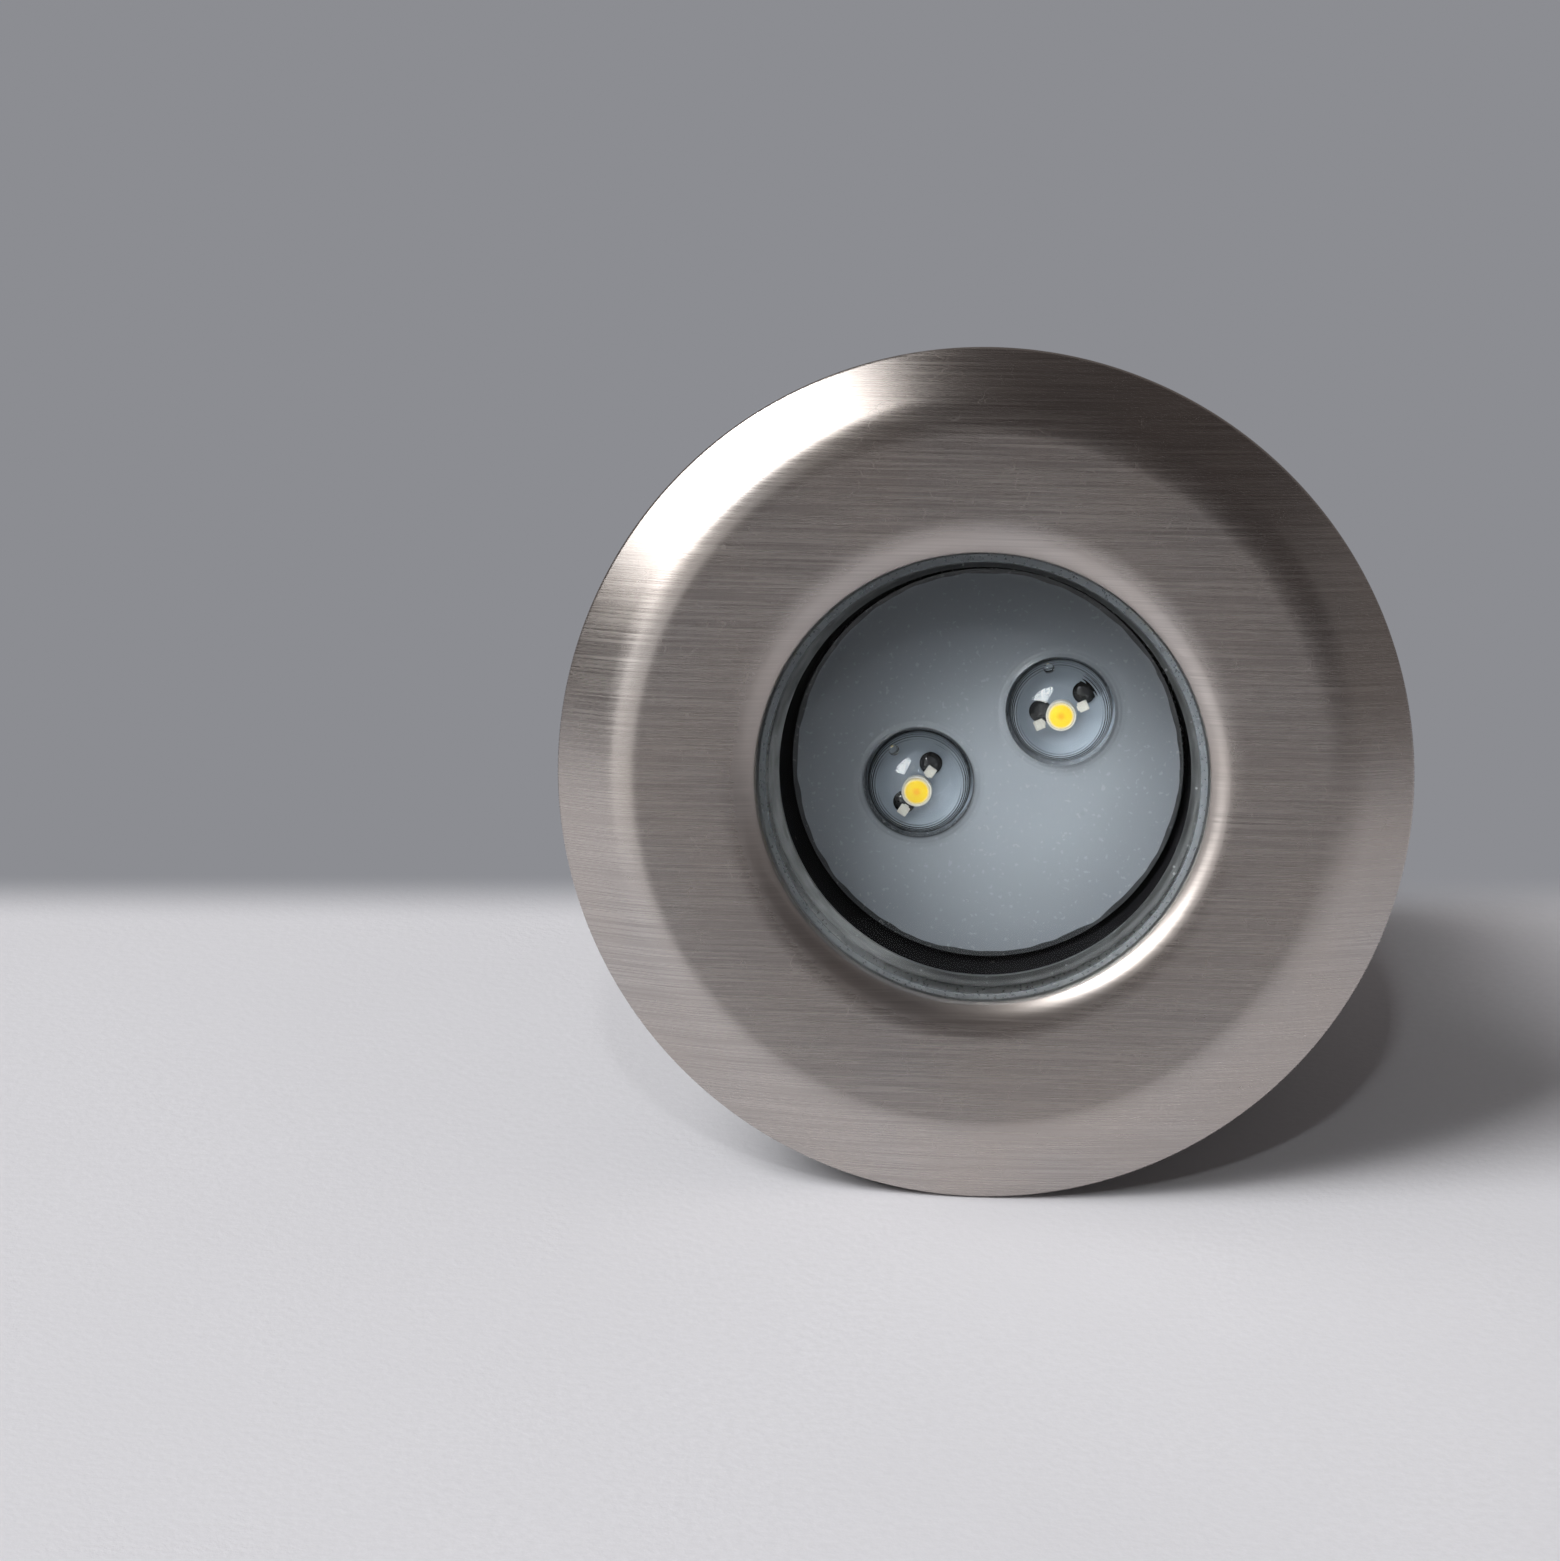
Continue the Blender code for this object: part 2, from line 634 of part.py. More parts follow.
def make_light_well(root):
    """The cup that holds the potting, and whose floor lies on a step of the housing."""
    corners = [
        (WELL_RADIUS, WELL_TOP),
        (GASKET_RADIUS, WELL_TOP),
        (GASKET_RADIUS, WELL_SEAT),
        (WELL_RADIUS + TUBE_WALL, WELL_SEAT),
        (WELL_END_RADIUS + TUBE_WALL, LEDGE_BOTTOM),
        (LEDGE_RADIUS, LEDGE_BOTTOM),
        (LEDGE_RADIUS, LEDGE_TOP),
        (WELL_END_RADIUS, LEDGE_TOP),
    ]
    well = turned("light_well", rounded(corners), RING_STEPS, black_nylon(), root)
    join(well, make_gussets(root))
    return well


def housing_outline():
    """The barrel's section: flange, outer wall with its seal groove, rear mouth, and the well's step."""
    step = WELL_SEAT - FIT
    groove_radius = HOUSING_TOP_RADIUS - SEAL_GROOVE
    groove_half = SEAL_SECTION + FIT
    corners = [
        (POCKET_RADIUS, FLANGE_THICKNESS),
        (FLANGE_RADIUS, FLANGE_THICKNESS),
        (FLANGE_RADIUS, 0),
        (HOUSING_TOP_RADIUS, 0, HOUSING_ROUND),
        (HOUSING_TOP_RADIUS, SEAL_PLACE + groove_half),
        (groove_radius, SEAL_PLACE + groove_half),
        (groove_radius, SEAL_PLACE - groove_half),
        (HOUSING_TOP_RADIUS, SEAL_PLACE - groove_half),
        (HOUSING_END_RADIUS, HOUSING_END),
        (HOUSING_BORE, HOUSING_END),
        (HOUSING_BORE, step),
        (POCKET_RADIUS, step),
    ]
    return rounded(corners, COARSE_TURN)


def make_ribs(root):
    """Centring ribs with a slanted lead at their front ends."""
    inner = HOUSING_END_RADIUS - BITE
    outline = [
        (inner, RIB_TOP),
        (RIB_RADIUS, RIB_TOP - RIB_LEAD),
        (RIB_RADIUS, HOUSING_END),
        (inner, HOUSING_END),
    ]
    work = bmesh.new()
    for turn in turns_round(RIB_COUNT, RIB_HALF_ANGLE):
        extruded(work, outline, RIB_WIDTH, turn)
    return place_in_scene("ribs", work, None, root)


def make_boss_webs(root):
    """Webs that tie the rear cover's screw bosses to the outer wall, in front of the cover's spigot."""
    rear = SPIGOT_TOP + FIT
    inner = COVER_SCREW_CIRCLE
    outer = HOUSING_BORE + BITE
    size = (outer - inner, GUSSET_WIDTH, COVER_BOSS_TOP - rear - BITE)
    centre = ((inner + outer) / 2, 0, (COVER_BOSS_TOP + rear) / 2)
    turns = turns_round(COVER_SCREW_COUNT, math.pi / COVER_SCREW_COUNT)
    return boxes("boss_webs", size, centre, turns, None, root)


def make_housing(root):
    housing = turned("housing", housing_outline(), RING_STEPS, black_nylon(), root)
    join(housing, make_ribs(root))
    boss = rod(CARRIER_BOSS_RADIUS, -CARRIER_BOSS_LENGTH, FLANGE_THICKNESS / 2)
    join(housing, turned("carrier_bosses", boss, SMALL_STEPS, None, root, carrier_screw_places()))
    boss = rod(COVER_BOSS_RADIUS, HOUSING_END, COVER_BOSS_TOP)
    join(housing, turned("cover_bosses", boss, SMALL_STEPS, None, root, cover_screw_places()))
    join(housing, make_boss_webs(root))
    holes = screw_outline(CARRIER_SCREW, CARRIER_TOP, FIT)
    cut(housing, turned("housing_front_holes", holes, SCREW_STEPS, None, root, carrier_screw_places()))
    depth = COVER_SCREW[2] - COVER_THICKNESS + SCREW_END_MARGIN
    hole = rod(COVER_SCREW[1] + FIT, HOUSING_END - OVERRUN, HOUSING_END + depth)
    cut(housing, turned("housing_rear_holes", hole, SCREW_STEPS, None, root, cover_screw_places()))
    return housing


def o_ring_outline(radius, place, section):
    turns = turns_round(SEAL_SIDES)
    return [(radius + section * math.cos(turn), place - section * math.sin(turn)) for turn in turns]


def make_sleeve_o_ring(root):
    radius = HOUSING_TOP_RADIUS - SEAL_GROOVE + FIT + SEAL_SECTION
    outline = o_ring_outline(radius, SEAL_PLACE, SEAL_SECTION)
    return turned("sleeve_o_ring", outline, SEAL_STEPS, rubber(), root)


def led_places():
    """Centres of the two LEDs on their board, left then right as the face is seen."""
    arm = Vector((math.cos(LED_LINE_ANGLE), math.sin(LED_LINE_ANGLE))) * LED_SPACING / 2
    middle = Vector((0, LED_PAIR_RAISE))
    return [middle - arm, middle + arm]


def cap_places():
    """Centres of the clear caps, which are set a little off their LEDs."""
    return [spot + Vector(shift) * CAP_RADIUS for spot, shift in zip(led_places(), CAP_SHIFT_SHARES)]


def make_potting(root):
    """The cured compound, which climbs each cap in a meniscus."""
    outline = ring(0, WELL_END_RADIUS - FIT, POTTING_BOTTOM, POTTING_TOP)
    potting = turned("potting_compound", outline, RING_STEPS, potting_resin(), root)
    bore = CAP_RADIUS + FIT
    slope = [
        (0, POTTING_TOP + MENISCUS_RISE),
        (bore + WELD, POTTING_TOP + MENISCUS_RISE),
        (bore + MENISCUS_WIDTH / 3, POTTING_TOP + MENISCUS_RISE / 3),
        (bore + MENISCUS_WIDTH, POTTING_TOP - BITE),
        (0, POTTING_TOP - BITE),
    ]
    join(potting, turned("menisci", slope, CAP_STEPS, None, root, cap_places()))
    hole = rod(bore, POTTING_BOTTOM - OVERRUN, POTTING_TOP + MENISCUS_RISE + OVERRUN)
    cut(potting, turned("cap_bores", hole, CAP_STEPS, None, root, cap_places()))
    return potting


def dome(radius, base):
    """A quarter circle from the rim of a dome to its top."""
    turns = [math.pi / 2 * step / DOME_STEPS for step in range(DOME_STEPS)]
    arc = [(radius * math.cos(turn), base + radius * math.sin(turn)) for turn in turns]
    return arc + [(0, base + radius)]


def make_lens_cap(side, place, root):
    """A clear thimble, open below, that stands on the LED board."""
    base = BOARD_TOP + FIT
    spring = base + CAP_STRAIGHT
    outside = [(CAP_RADIUS, base)] + dome(CAP_RADIUS, spring)
    inside = [(CAP_RADIUS - CAP_WALL, base)] + dome(CAP_RADIUS - CAP_WALL, spring)
    cap = turned(f"lens_cap_{side}", outside + inside[::-1], CAP_STEPS, clear_plastic(), root)
    cap.location = (*place, 0)
    return cap


def make_led(side, place, root):
    """The LED's white base with its cup, and the phosphor that fills the cup."""
    cup = LED_BASE_RADIUS - LED_CUP_WALL
    floor = LED_TOP - LED_CUP_DEPTH
    outline = [
        (0, floor),
        (cup, floor),
        (cup, LED_TOP),
        (LED_BASE_RADIUS, LED_TOP),
        (LED_BASE_RADIUS, LED_BOTTOM),
        (0, LED_BOTTOM),
    ]
    white = finish("led_ceramic", (0.80, 0.79, 0.75), 0.4)
    base = turned(f"led_base_{side}", outline, SMALL_STEPS, white, root)
    base.location = (*place, 0)
    radius = cup - FIT / 2
    under = floor + FIT
    top = under + PHOSPHOR_HEIGHT
    crown = top + PHOSPHOR_CROWN
    outline = [(0, crown), (radius / 2, crown), (radius, top), (radius, under), (0, under)]
    yellow = finish("led_phosphor", (0.85, 0.55, 0.04), 0.5)
    phosphor = turned(f"phosphor_{side}", outline, SMALL_STEPS, yellow, root)
    phosphor.location = (*place, 0)


def lead_outline():
    """Outline of a lead, seen from the front: a narrow neck that widens into a square tab."""
    start = LED_BASE_RADIUS + FIT
    tab_start = start + NECK_LENGTH
    tab_end = TAB_REACH + TAB_SIDE / 2
    neck = NECK_WIDTH / 2
    tab = TAB_SIDE / 2
    near = [(start, -neck), (tab_start, -neck), (tab_start, -tab), (tab_end, -tab)]
    return near + [(along, -across) for along, across in near[::-1]]


def make_lead(name, place, turn, root):
    """A tinned lead of the LED, cut from flat strip."""
    work = bmesh.new()
    top = LED_TOP - TAB_SINK
    verts = [work.verts.new((along, across, top)) for along, across in lead_outline()]
    face = work.faces.new(verts)
    pushed = bmesh.ops.extrude_face_region(work, geom=[face])["geom"]
    moved = [part for part in pushed if isinstance(part, bmesh.types.BMVert)]
    bmesh.ops.translate(work, verts=moved, vec=(0, 0, -TAB_THICKNESS))
    tin = finish("tinned_lead", (0.80, 0.79, 0.76), 0.3, metallic=1.0)
    lead = place_in_scene(name, work, tin, root)
    lead.location = (*place, 0)
    lead.rotation_euler = (0, 0, turn)


def make_bush(name, place, root):
    """The black bush where a wire comes up through the board beside its lead."""
    outline = rod(BUSH_RADIUS, BUSH_BOTTOM, BUSH_BOTTOM + BUSH_HEIGHT)
    bush = turned(name, outline, SMALL_STEPS, rubber(), root)
    bush.location = (*place, 0)


def make_leads(side, place, angle, shift_share, root):
    for ending, turn in (("upper", angle), ("lower", angle + math.pi)):
        make_lead(f"lead_{side}_{ending}", place, turn, root)
        tab = place + Vector((math.cos(turn), math.sin(turn))) * TAB_REACH
        make_bush(f"lead_bush_{side}_{ending}", tab + Vector((0, shift_share * TAB_REACH)), root)


def make_light_engine(root):
    make_potting(root)
    sides = zip(SIDE_NAMES, led_places(), cap_places(), LEAD_ANGLES, BUSH_SHIFT_SHARES)
    for side, led, cap, angle, shift_share in sides:
        make_lens_cap(side, cap, root)
        make_led(side, led, root)
        make_leads(side, led, angle, shift_share, root)


def board_screw_places():
    return places_round(2, BOARD_SCREW_CIRCLE, LED_LINE_ANGLE + math.pi / 2)


def wire_places():
    return [(-WIRE_REACH, FIN_PITCH / 2), (WIRE_REACH, FIN_PITCH / 2)]


def make_led_board(root):
    outline = rod(LED_BOARD_RADIUS, BOARD_BOTTOM, BOARD_TOP)
    board = turned("led_board", outline, RING_STEPS, aluminium(), root)
    holes = screw_outline(BOARD_SCREW, BOARD_TOP, FIT)
    cut(board, turned("board_holes", holes, SCREW_STEPS, None, root, board_screw_places()))
    make_screws("led_board_screw", screw_outline(BOARD_SCREW, BOARD_TOP), board_screw_places(), root)
    return board


def make_heat_sink(root):
    """A turned base that reaches through the ledge, with parallel fins behind it."""
    disc = rod(SINK_RADIUS, SINK_BASE_END, LEDGE_TOP)
    sink = turned("heat_sink", disc, RING_STEPS, aluminium(), root)
    work = bmesh.new()
    root_height = SINK_BASE_END + BITE
    for index in range(FIN_COUNT):
        across = (index - (FIN_COUNT - 1) / 2) * FIN_PITCH
        reach = math.sqrt(SINK_RADIUS**2 - (abs(across) + FIN_THICKNESS / 2) ** 2) - BITE
        size = (reach * 2, FIN_THICKNESS, root_height - SINK_END)
        box(work, size, (0, across, (root_height + SINK_END) / 2))
    join(sink, place_in_scene("fins", work, None, root))
    holes = screw_outline(BOARD_SCREW, BOARD_TOP, FIT)
    cut(sink, turned("sink_holes", holes, SCREW_STEPS, None, root, board_screw_places()))
    bore = rod(WIRE_BORE_RADIUS, SINK_BASE_END - OVERRUN, LEDGE_TOP + OVERRUN)
    cut(sink, turned("wire_bores", bore, SCREW_STEPS, None, root, wire_places()))
    return sink


def make_wire(name, place, material, root):
    """A wire from the driver to the LED board, with an easy sway behind the heat sink."""
    start = DRIVER_TOP + FIT
    end = BOARD_BOTTOM - FIT
    curve = bpy.data.curves.new(name, "CURVE")
    curve.dimensions = "3D"
    curve.bevel_depth = WIRE_RADIUS
    curve.bevel_resolution = 1
    curve.use_fill_caps = True
    spline = curve.splines.new("POLY")
    spline.points.add(WIRE_POINTS - 1)
    for index, point in enumerate(spline.points):
        height = start + (end - start) * index / (WIRE_POINTS - 1)
        share = min((height - start) / (SINK_END - start), 1)
        sway = WIRE_SWAY * math.sin(math.pi * share) ** 2
        point.co = (place[0], place[1] - sway, height, 1)
    curve.materials.append(material)
    return add_object(name, curve, root)


def make_wires(root):
    red = finish("red_wire", (0.45, 0.03, 0.02), 0.45)
    black = finish("black_wire", (0.02, 0.02, 0.02), 0.45)
    names = ("led_wire_positive", "led_wire_negative")
    for name, place, material in zip(names, wire_places(), (red, black)):
        make_wire(name, place, material, root)


def post_places():
    return places_round(POST_COUNT, POST_CIRCLE, -math.pi / 2)


def make_driver_board(root):
    outline = rod(DRIVER_RADIUS, DRIVER_BOTTOM, DRIVER_TOP)
    board = turned("driver_board", outline, RING_STEPS, green_board(), root)
    bore = pan_outline(DRIVER_SCREW, DRIVER_TOP, FIT)
    cut(board, turned("driver_bores", bore, SCREW_STEPS, None, root, post_places()))
    make_screws("driver_screw", pan_outline(DRIVER_SCREW, DRIVER_TOP), post_places(), root)
    return board


def make_capacitor(root):
    """A can with the rolled neck above its rubber plug."""
    base = DRIVER_TOP + FIT
    top = base + CAPACITOR_HEIGHT
    neck = base + CAPACITOR_NECK_PLACE
    corners = [
        (0, top),
        (CAPACITOR_RADIUS, top, CAPACITOR_ROUND),
        (CAPACITOR_RADIUS, neck + CAPACITOR_NECK),
        (CAPACITOR_RADIUS - CAPACITOR_NECK, neck),
        (CAPACITOR_RADIUS, neck - CAPACITOR_NECK),
        (CAPACITOR_RADIUS, base),
        (0, base),
    ]
    blue = finish("capacitor_sleeve", (0.03, 0.04, 0.09), 0.35)
    made = turned("capacitor", rounded(corners, COARSE_TURN), SMALL_STEPS, blue, root)
    made.location = (-PART_REACH, -PART_DROP, 0)


def make_choke(root):
    """A drum core whose winding fills the waist."""
    base = DRIVER_TOP + FIT
    top = base + CHOKE_HEIGHT
    waist = CHOKE_RADIUS - CHOKE_WINDING_SINK
    outline = [
        (0, top),
        (CHOKE_RADIUS, top),
        (CHOKE_RADIUS, top - CHOKE_FLANGE),
        (waist, top - CHOKE_FLANGE),
        (waist, base + CHOKE_FLANGE),
        (CHOKE_RADIUS, base + CHOKE_FLANGE),
        (CHOKE_RADIUS, base),
        (0, base),
    ]
    ferrite = finish("ferrite", (0.05, 0.045, 0.04), 0.5)
    made = turned("choke", outline, SMALL_STEPS, ferrite, root)
    made.location = (PART_REACH, -PART_DROP, 0)


def block(name, size, centre, material, root):
    """A moulded block with small chamfers on all its edges."""
    work = bmesh.new()
    box(work, size, centre)
    bmesh.ops.bevel(work, geom=work.edges[:], offset=CHAMFER, segments=1, affect="EDGES")
    return place_in_scene(name, work, material, root)


def make_driver_blocks(root):
    """The bridge rectifier in front of the driver board, and the terminal block behind it."""
    height = RECTIFIER_SIZE[2]
    place = (0, PART_REACH, DRIVER_TOP + FIT + height / 2)
    block("rectifier", RECTIFIER_SIZE, place, finish("chip_resin", (0.02, 0.02, 0.02), 0.4), root)
    height = TERMINAL_SIZE[2]
    place = (0, -PART_DROP, DRIVER_BOTTOM - FIT - height / 2)
    white = finish("white_nylon", (0.72, 0.72, 0.70), 0.5)
    terminal = block("terminal_block", TERMINAL_SIZE, place, white, root)
    work = bmesh.new()
    for index in range(TERMINAL_ENTRIES):
        across = (index - (TERMINAL_ENTRIES - 1) / 2) * TERMINAL_SIZE[0] / TERMINAL_ENTRIES
        size = (TERMINAL_ENTRY, TERMINAL_ENTRY, TERMINAL_ENTRY_DEPTH + OVERRUN)
        centre = (across, -PART_DROP, TERMINAL_END + (TERMINAL_ENTRY_DEPTH - OVERRUN) / 2)
        box(work, size, centre)
    cut(terminal, place_in_scene("terminal_entries", work, None, root))


def make_rear_cover(root):
    """The cover with its sealed spigot and the posts that carry the driver."""
    gland_hole = GLAND_RADIUS + FIT
    groove = SPIGOT_RADIUS - COVER_GROOVE_DEPTH
    groove_half = COVER_GROOVE_WIDTH / 2
    corners = [
        (gland_hole, COVER_TOP),
        (SPIGOT_BORE, COVER_TOP),
        (SPIGOT_BORE, SPIGOT_TOP),
        (SPIGOT_RADIUS, SPIGOT_TOP),
        (SPIGOT_RADIUS, COVER_SEAL_PLACE + groove_half),
        (groove, COVER_SEAL_PLACE + groove_half),
        (groove, COVER_SEAL_PLACE - groove_half),
        (SPIGOT_RADIUS, COVER_SEAL_PLACE - groove_half),
        (SPIGOT_RADIUS, COVER_TOP),
        (HOUSING_END_RADIUS, COVER_TOP),
        (HOUSING_END_RADIUS, COVER_BOTTOM, COVER_ROUND),
        (gland_hole, COVER_BOTTOM),
    ]
    cover = turned("rear_cover", rounded(corners, COARSE_TURN), RING_STEPS, black_nylon(), root)
    post = rod(POST_RADIUS, COVER_TOP - BITE, DRIVER_BOTTOM - FIT)
    join(cover, turned("posts", post, SMALL_STEPS, None, root, post_places()))
    bore = pan_outline(DRIVER_SCREW, DRIVER_TOP, FIT)
    cut(cover, turned("post_bores", bore, SCREW_STEPS, None, root, post_places()))
    hole = [(radius, -height) for radius, height in screw_outline(COVER_SCREW, -COVER_BOTTOM, FIT)]
    cut(cover, turned("cover_holes", hole[::-1], SCREW_STEPS, None, root, cover_screw_places()))
    screw = [(radius, -height) for radius, height in screw_outline(COVER_SCREW, -COVER_BOTTOM)]
    make_screws("cover_screw", screw[::-1], cover_screw_places(), root)
    return cover


def make_cover_o_ring(root):
    radius = SPIGOT_RADIUS - COVER_GROOVE_DEPTH + FIT + COVER_SEAL_SECTION
    outline = o_ring_outline(radius, COVER_SEAL_PLACE, COVER_SEAL_SECTION)
    return turned("cover_o_ring", outline, SEAL_STEPS, rubber(), root)


def make_gland_body(root):
    """A threaded tube through the cover, with a hexagonal collar."""
    tube = ring(GLAND_BORE, GLAND_RADIUS, GLAND_END, COVER_TOP + GLAND_INNER_LENGTH)
    body = turned("gland_body", tube, CAP_STEPS, grey_nylon(), root)
    inner = (GLAND_BORE + GLAND_RADIUS) / 2
    collar = ring(inner, COLLAR_RADIUS, COLLAR_BOTTOM, COLLAR_TOP)
    join(body, turned("gland_collar", collar, HEX_STEPS, None, root))
    return body


def make_gland_washer(root):
    outline = ring(GLAND_RADIUS + FIT, WASHER_RADIUS, WASHER_BOTTOM, WASHER_TOP)
    return turned("gland_washer", outline, CAP_STEPS, rubber(), root)


def make_gland_locknut(root):
    bottom = COVER_TOP + FIT
    top = bottom + LOCKNUT_THICKNESS
    nut = turned("gland_locknut", rod(LOCKNUT_RADIUS, bottom, top), HEX_STEPS, grey_nylon(), root)
    bore = rod(GLAND_RADIUS + FIT, bottom - OVERRUN, top + OVERRUN)
    cut(nut, turned("locknut_bore", bore, CAP_STEPS, None, root))
    return nut


def make_gland_nut(root):
    """The domed nut that squeezes the insert round the cable."""
    mouth = INSERT_BORE + FIT
    corners = [
        (NUT_BORE, NUT_TOP),
        (NUT_OUTSIDE, NUT_TOP),
        (NUT_OUTSIDE, NUT_END, NUT_ROUND),
        (mouth, NUT_END),
        (mouth, NUT_END + NUT_END_WALL),
        (NUT_BORE, NUT_END + NUT_END_WALL),
    ]
    nut = turned("gland_nut", rounded(corners), CAP_STEPS, grey_nylon(), root)
    inner = (NUT_BORE + NUT_OUTSIDE) / 2 / math.cos(math.pi / HEX_STEPS)
    hexagon = ring(inner, NUT_RADIUS, NUT_TOP - NUT_HEX_LENGTH, NUT_TOP)
    join(nut, turned("nut_hexagon", hexagon, HEX_STEPS, None, root))
    return nut


def make_gland_insert(root):
    """The rubber sleeve: its stem sits in the gland's tube, its head between the tube and the nut."""
    head_top = GLAND_END - FIT
    bottom = NUT_END + NUT_END_WALL + FIT
    outline = [
        (INSERT_BORE, GLAND_END + INSERT_DEPTH),
        (INSERT_RADIUS, GLAND_END + INSERT_DEPTH),
        (INSERT_RADIUS, head_top),
        (GLAND_RADIUS, head_top),
        (GLAND_RADIUS, bottom),
        (INSERT_BORE, bottom),
    ]
    return turned("gland_insert", outline, CAP_STEPS, rubber(), root)


def world_bounds(objects):
    """Lowest and highest corners of the finished pieces, as they stand."""
    graph = bpy.context.evaluated_depsgraph_get()
    lows, highs = [], []
    for item in objects:
        evaluated = item.evaluated_get(graph)
        mesh = evaluated.to_mesh()
        points = np.empty(len(mesh.vertices) * 3, np.float32)
        mesh.vertices.foreach_get("co", points)
        turned_points = points.reshape(-1, 3) @ np.array(evaluated.matrix_world)[:3, :3].T
        turned_points += np.array(evaluated.matrix_world)[:3, 3]
        lows.append(turned_points.min(axis=0))
        highs.append(turned_points.max(axis=0))
        evaluated.to_mesh_clear()
    return np.min(lows, axis=0), np.max(highs, axis=0)


def stand_up(root):
    """Leans the lamp back, stands it on the floor and centres its footprint on the origin."""
    root.rotation_euler = (math.pi / 2 - LEAN, 0, 0)
    root.location = (0, 0, RIM_REACH * math.cos(LEAN))
    bpy.context.view_layer.update()
    pieces = [item for item in bpy.data.objects if item.type in ("MESH", "CURVE") and not item.hide_render]
    low, high = world_bounds(pieces)
    root.location.y -= float(low[1] + high[1]) / 2
    bpy.context.view_layer.update()


def main():
    clear_scene()
    root = bpy.data.objects.new("lamp_axis", None)
    bpy.context.scene.collection.objects.link(root)
    make_bezel(root)
    make_bezel_carrier(root)
    make_glass(root)
    make_glass_gasket(root)
    make_light_well(root)
    make_housing(root)
    make_sleeve_o_ring(root)
    make_light_engine(root)
    make_led_board(root)
    make_heat_sink(root)
    make_wires(root)
    make_driver_board(root)
    make_capacitor(root)
    make_choke(root)
    make_driver_blocks(root)
    make_rear_cover(root)
    make_cover_o_ring(root)
    make_gland_body(root)
    make_gland_washer(root)
    make_gland_locknut(root)
    make_gland_insert(root)
    make_gland_nut(root)
    stand_up(root)


main()
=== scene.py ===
"""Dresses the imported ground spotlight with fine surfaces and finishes, on a plain stage.

Every new surface is worked out about the lamp's own axis: z points out of the glass, y up the face,
and z = 0 is the plane of the ground that the flange lies on. stand_up() then carries the points to
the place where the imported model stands. All lengths are in metres.
"""

import json
import math

import bmesh
import bpy
import numpy as np
from bpy.props import FloatProperty, FloatVectorProperty, PointerProperty
from mathutils import Matrix, Vector, geometry


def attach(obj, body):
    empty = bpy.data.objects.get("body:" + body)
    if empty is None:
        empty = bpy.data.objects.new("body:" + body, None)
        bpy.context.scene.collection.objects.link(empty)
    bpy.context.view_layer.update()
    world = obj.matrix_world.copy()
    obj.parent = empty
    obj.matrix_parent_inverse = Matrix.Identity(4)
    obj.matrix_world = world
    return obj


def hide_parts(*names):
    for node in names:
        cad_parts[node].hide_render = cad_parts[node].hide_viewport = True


bl_info = {
    "name": "Ground Spotlight",
    "version": (1, 0, 0),
    "blender": (4, 5, 0),
    "location": "View3D > Sidebar > Spotlight",
    "description": "Makes the surfaces, finishes and stage of a recessed ground spotlight",
    "category": "Object",
}

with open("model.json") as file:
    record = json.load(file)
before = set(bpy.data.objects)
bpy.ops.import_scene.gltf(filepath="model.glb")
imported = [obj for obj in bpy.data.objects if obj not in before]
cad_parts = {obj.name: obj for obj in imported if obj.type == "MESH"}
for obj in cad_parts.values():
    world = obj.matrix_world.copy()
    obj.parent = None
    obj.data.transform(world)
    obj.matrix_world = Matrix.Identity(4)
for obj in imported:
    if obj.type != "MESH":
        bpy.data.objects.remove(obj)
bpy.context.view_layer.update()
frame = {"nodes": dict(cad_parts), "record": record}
BODY = "root"
WELD = 0.0000002
SHARP_ANGLE = math.radians(32)
IMAGE_SIZE = (1560, 1561)
SENSOR_WIDTH = 36.0

# The lamp's axis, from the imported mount: its face lies against the ground, so it points inwards
SEAT = frame["record"]["mounts"][0]
SEAT_RADIUS = 0.042
OUTWARD = -np.array(SEAT["axis"])
UPWARD = np.array((0.0, OUTWARD[2], -OUTWARD[1]))
AXES = np.array((np.cross(UPWARD, OUTWARD), UPWARD, OUTWARD))
ORIGIN = np.array(SEAT["pos_m"]) - SEAT_RADIUS * UPWARD

# Fits, rounds, places and step counts that the pieces share
FIT = 0.0003
BITE = 0.0004
BROKEN_EDGE, FINE_ROUND, SMALL_ROUND, SOFT_ROUND = 0.0001, 0.0002, 0.0003, 0.0004
LIP_END = 0.0021
POTTING_BASE = -0.0192
WEB = 0.0016
SCREW_PHASE = math.pi / 8
CARRIER_SCREW_CIRCLE = 0.0363
COVER_SCREW_CIRCLE = 0.0252
BEZEL_STEPS, RING_STEPS, HEXAGON_STEPS, ROUND_STEPS, SMALL_STEPS = 288, 168, 144, 96, 48


def stand_up(points):
    """Carries points from the lamp's axes to the world: origin + x, y and z along the axes' rows."""
    return np.asarray(points, float) @ AXES + ORIGIN


def own_points(mesh):
    """The points of a mesh in the world, carried back to the lamp's axes."""
    flat = np.empty(len(mesh.vertices) * 3, np.float32)
    mesh.vertices.foreach_get("co", flat)
    return (flat.reshape(-1, 3).astype(float) - ORIGIN) @ AXES.T


def cad_points(node):
    """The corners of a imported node, across the lamp's axis."""
    return own_points(frame["nodes"][node].data)[:, :2]


def cad_centre(node):
    """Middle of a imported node, across the lamp's axis."""
    points = cad_points(node)
    return (points.min(axis=0) + points.max(axis=0)) / 2


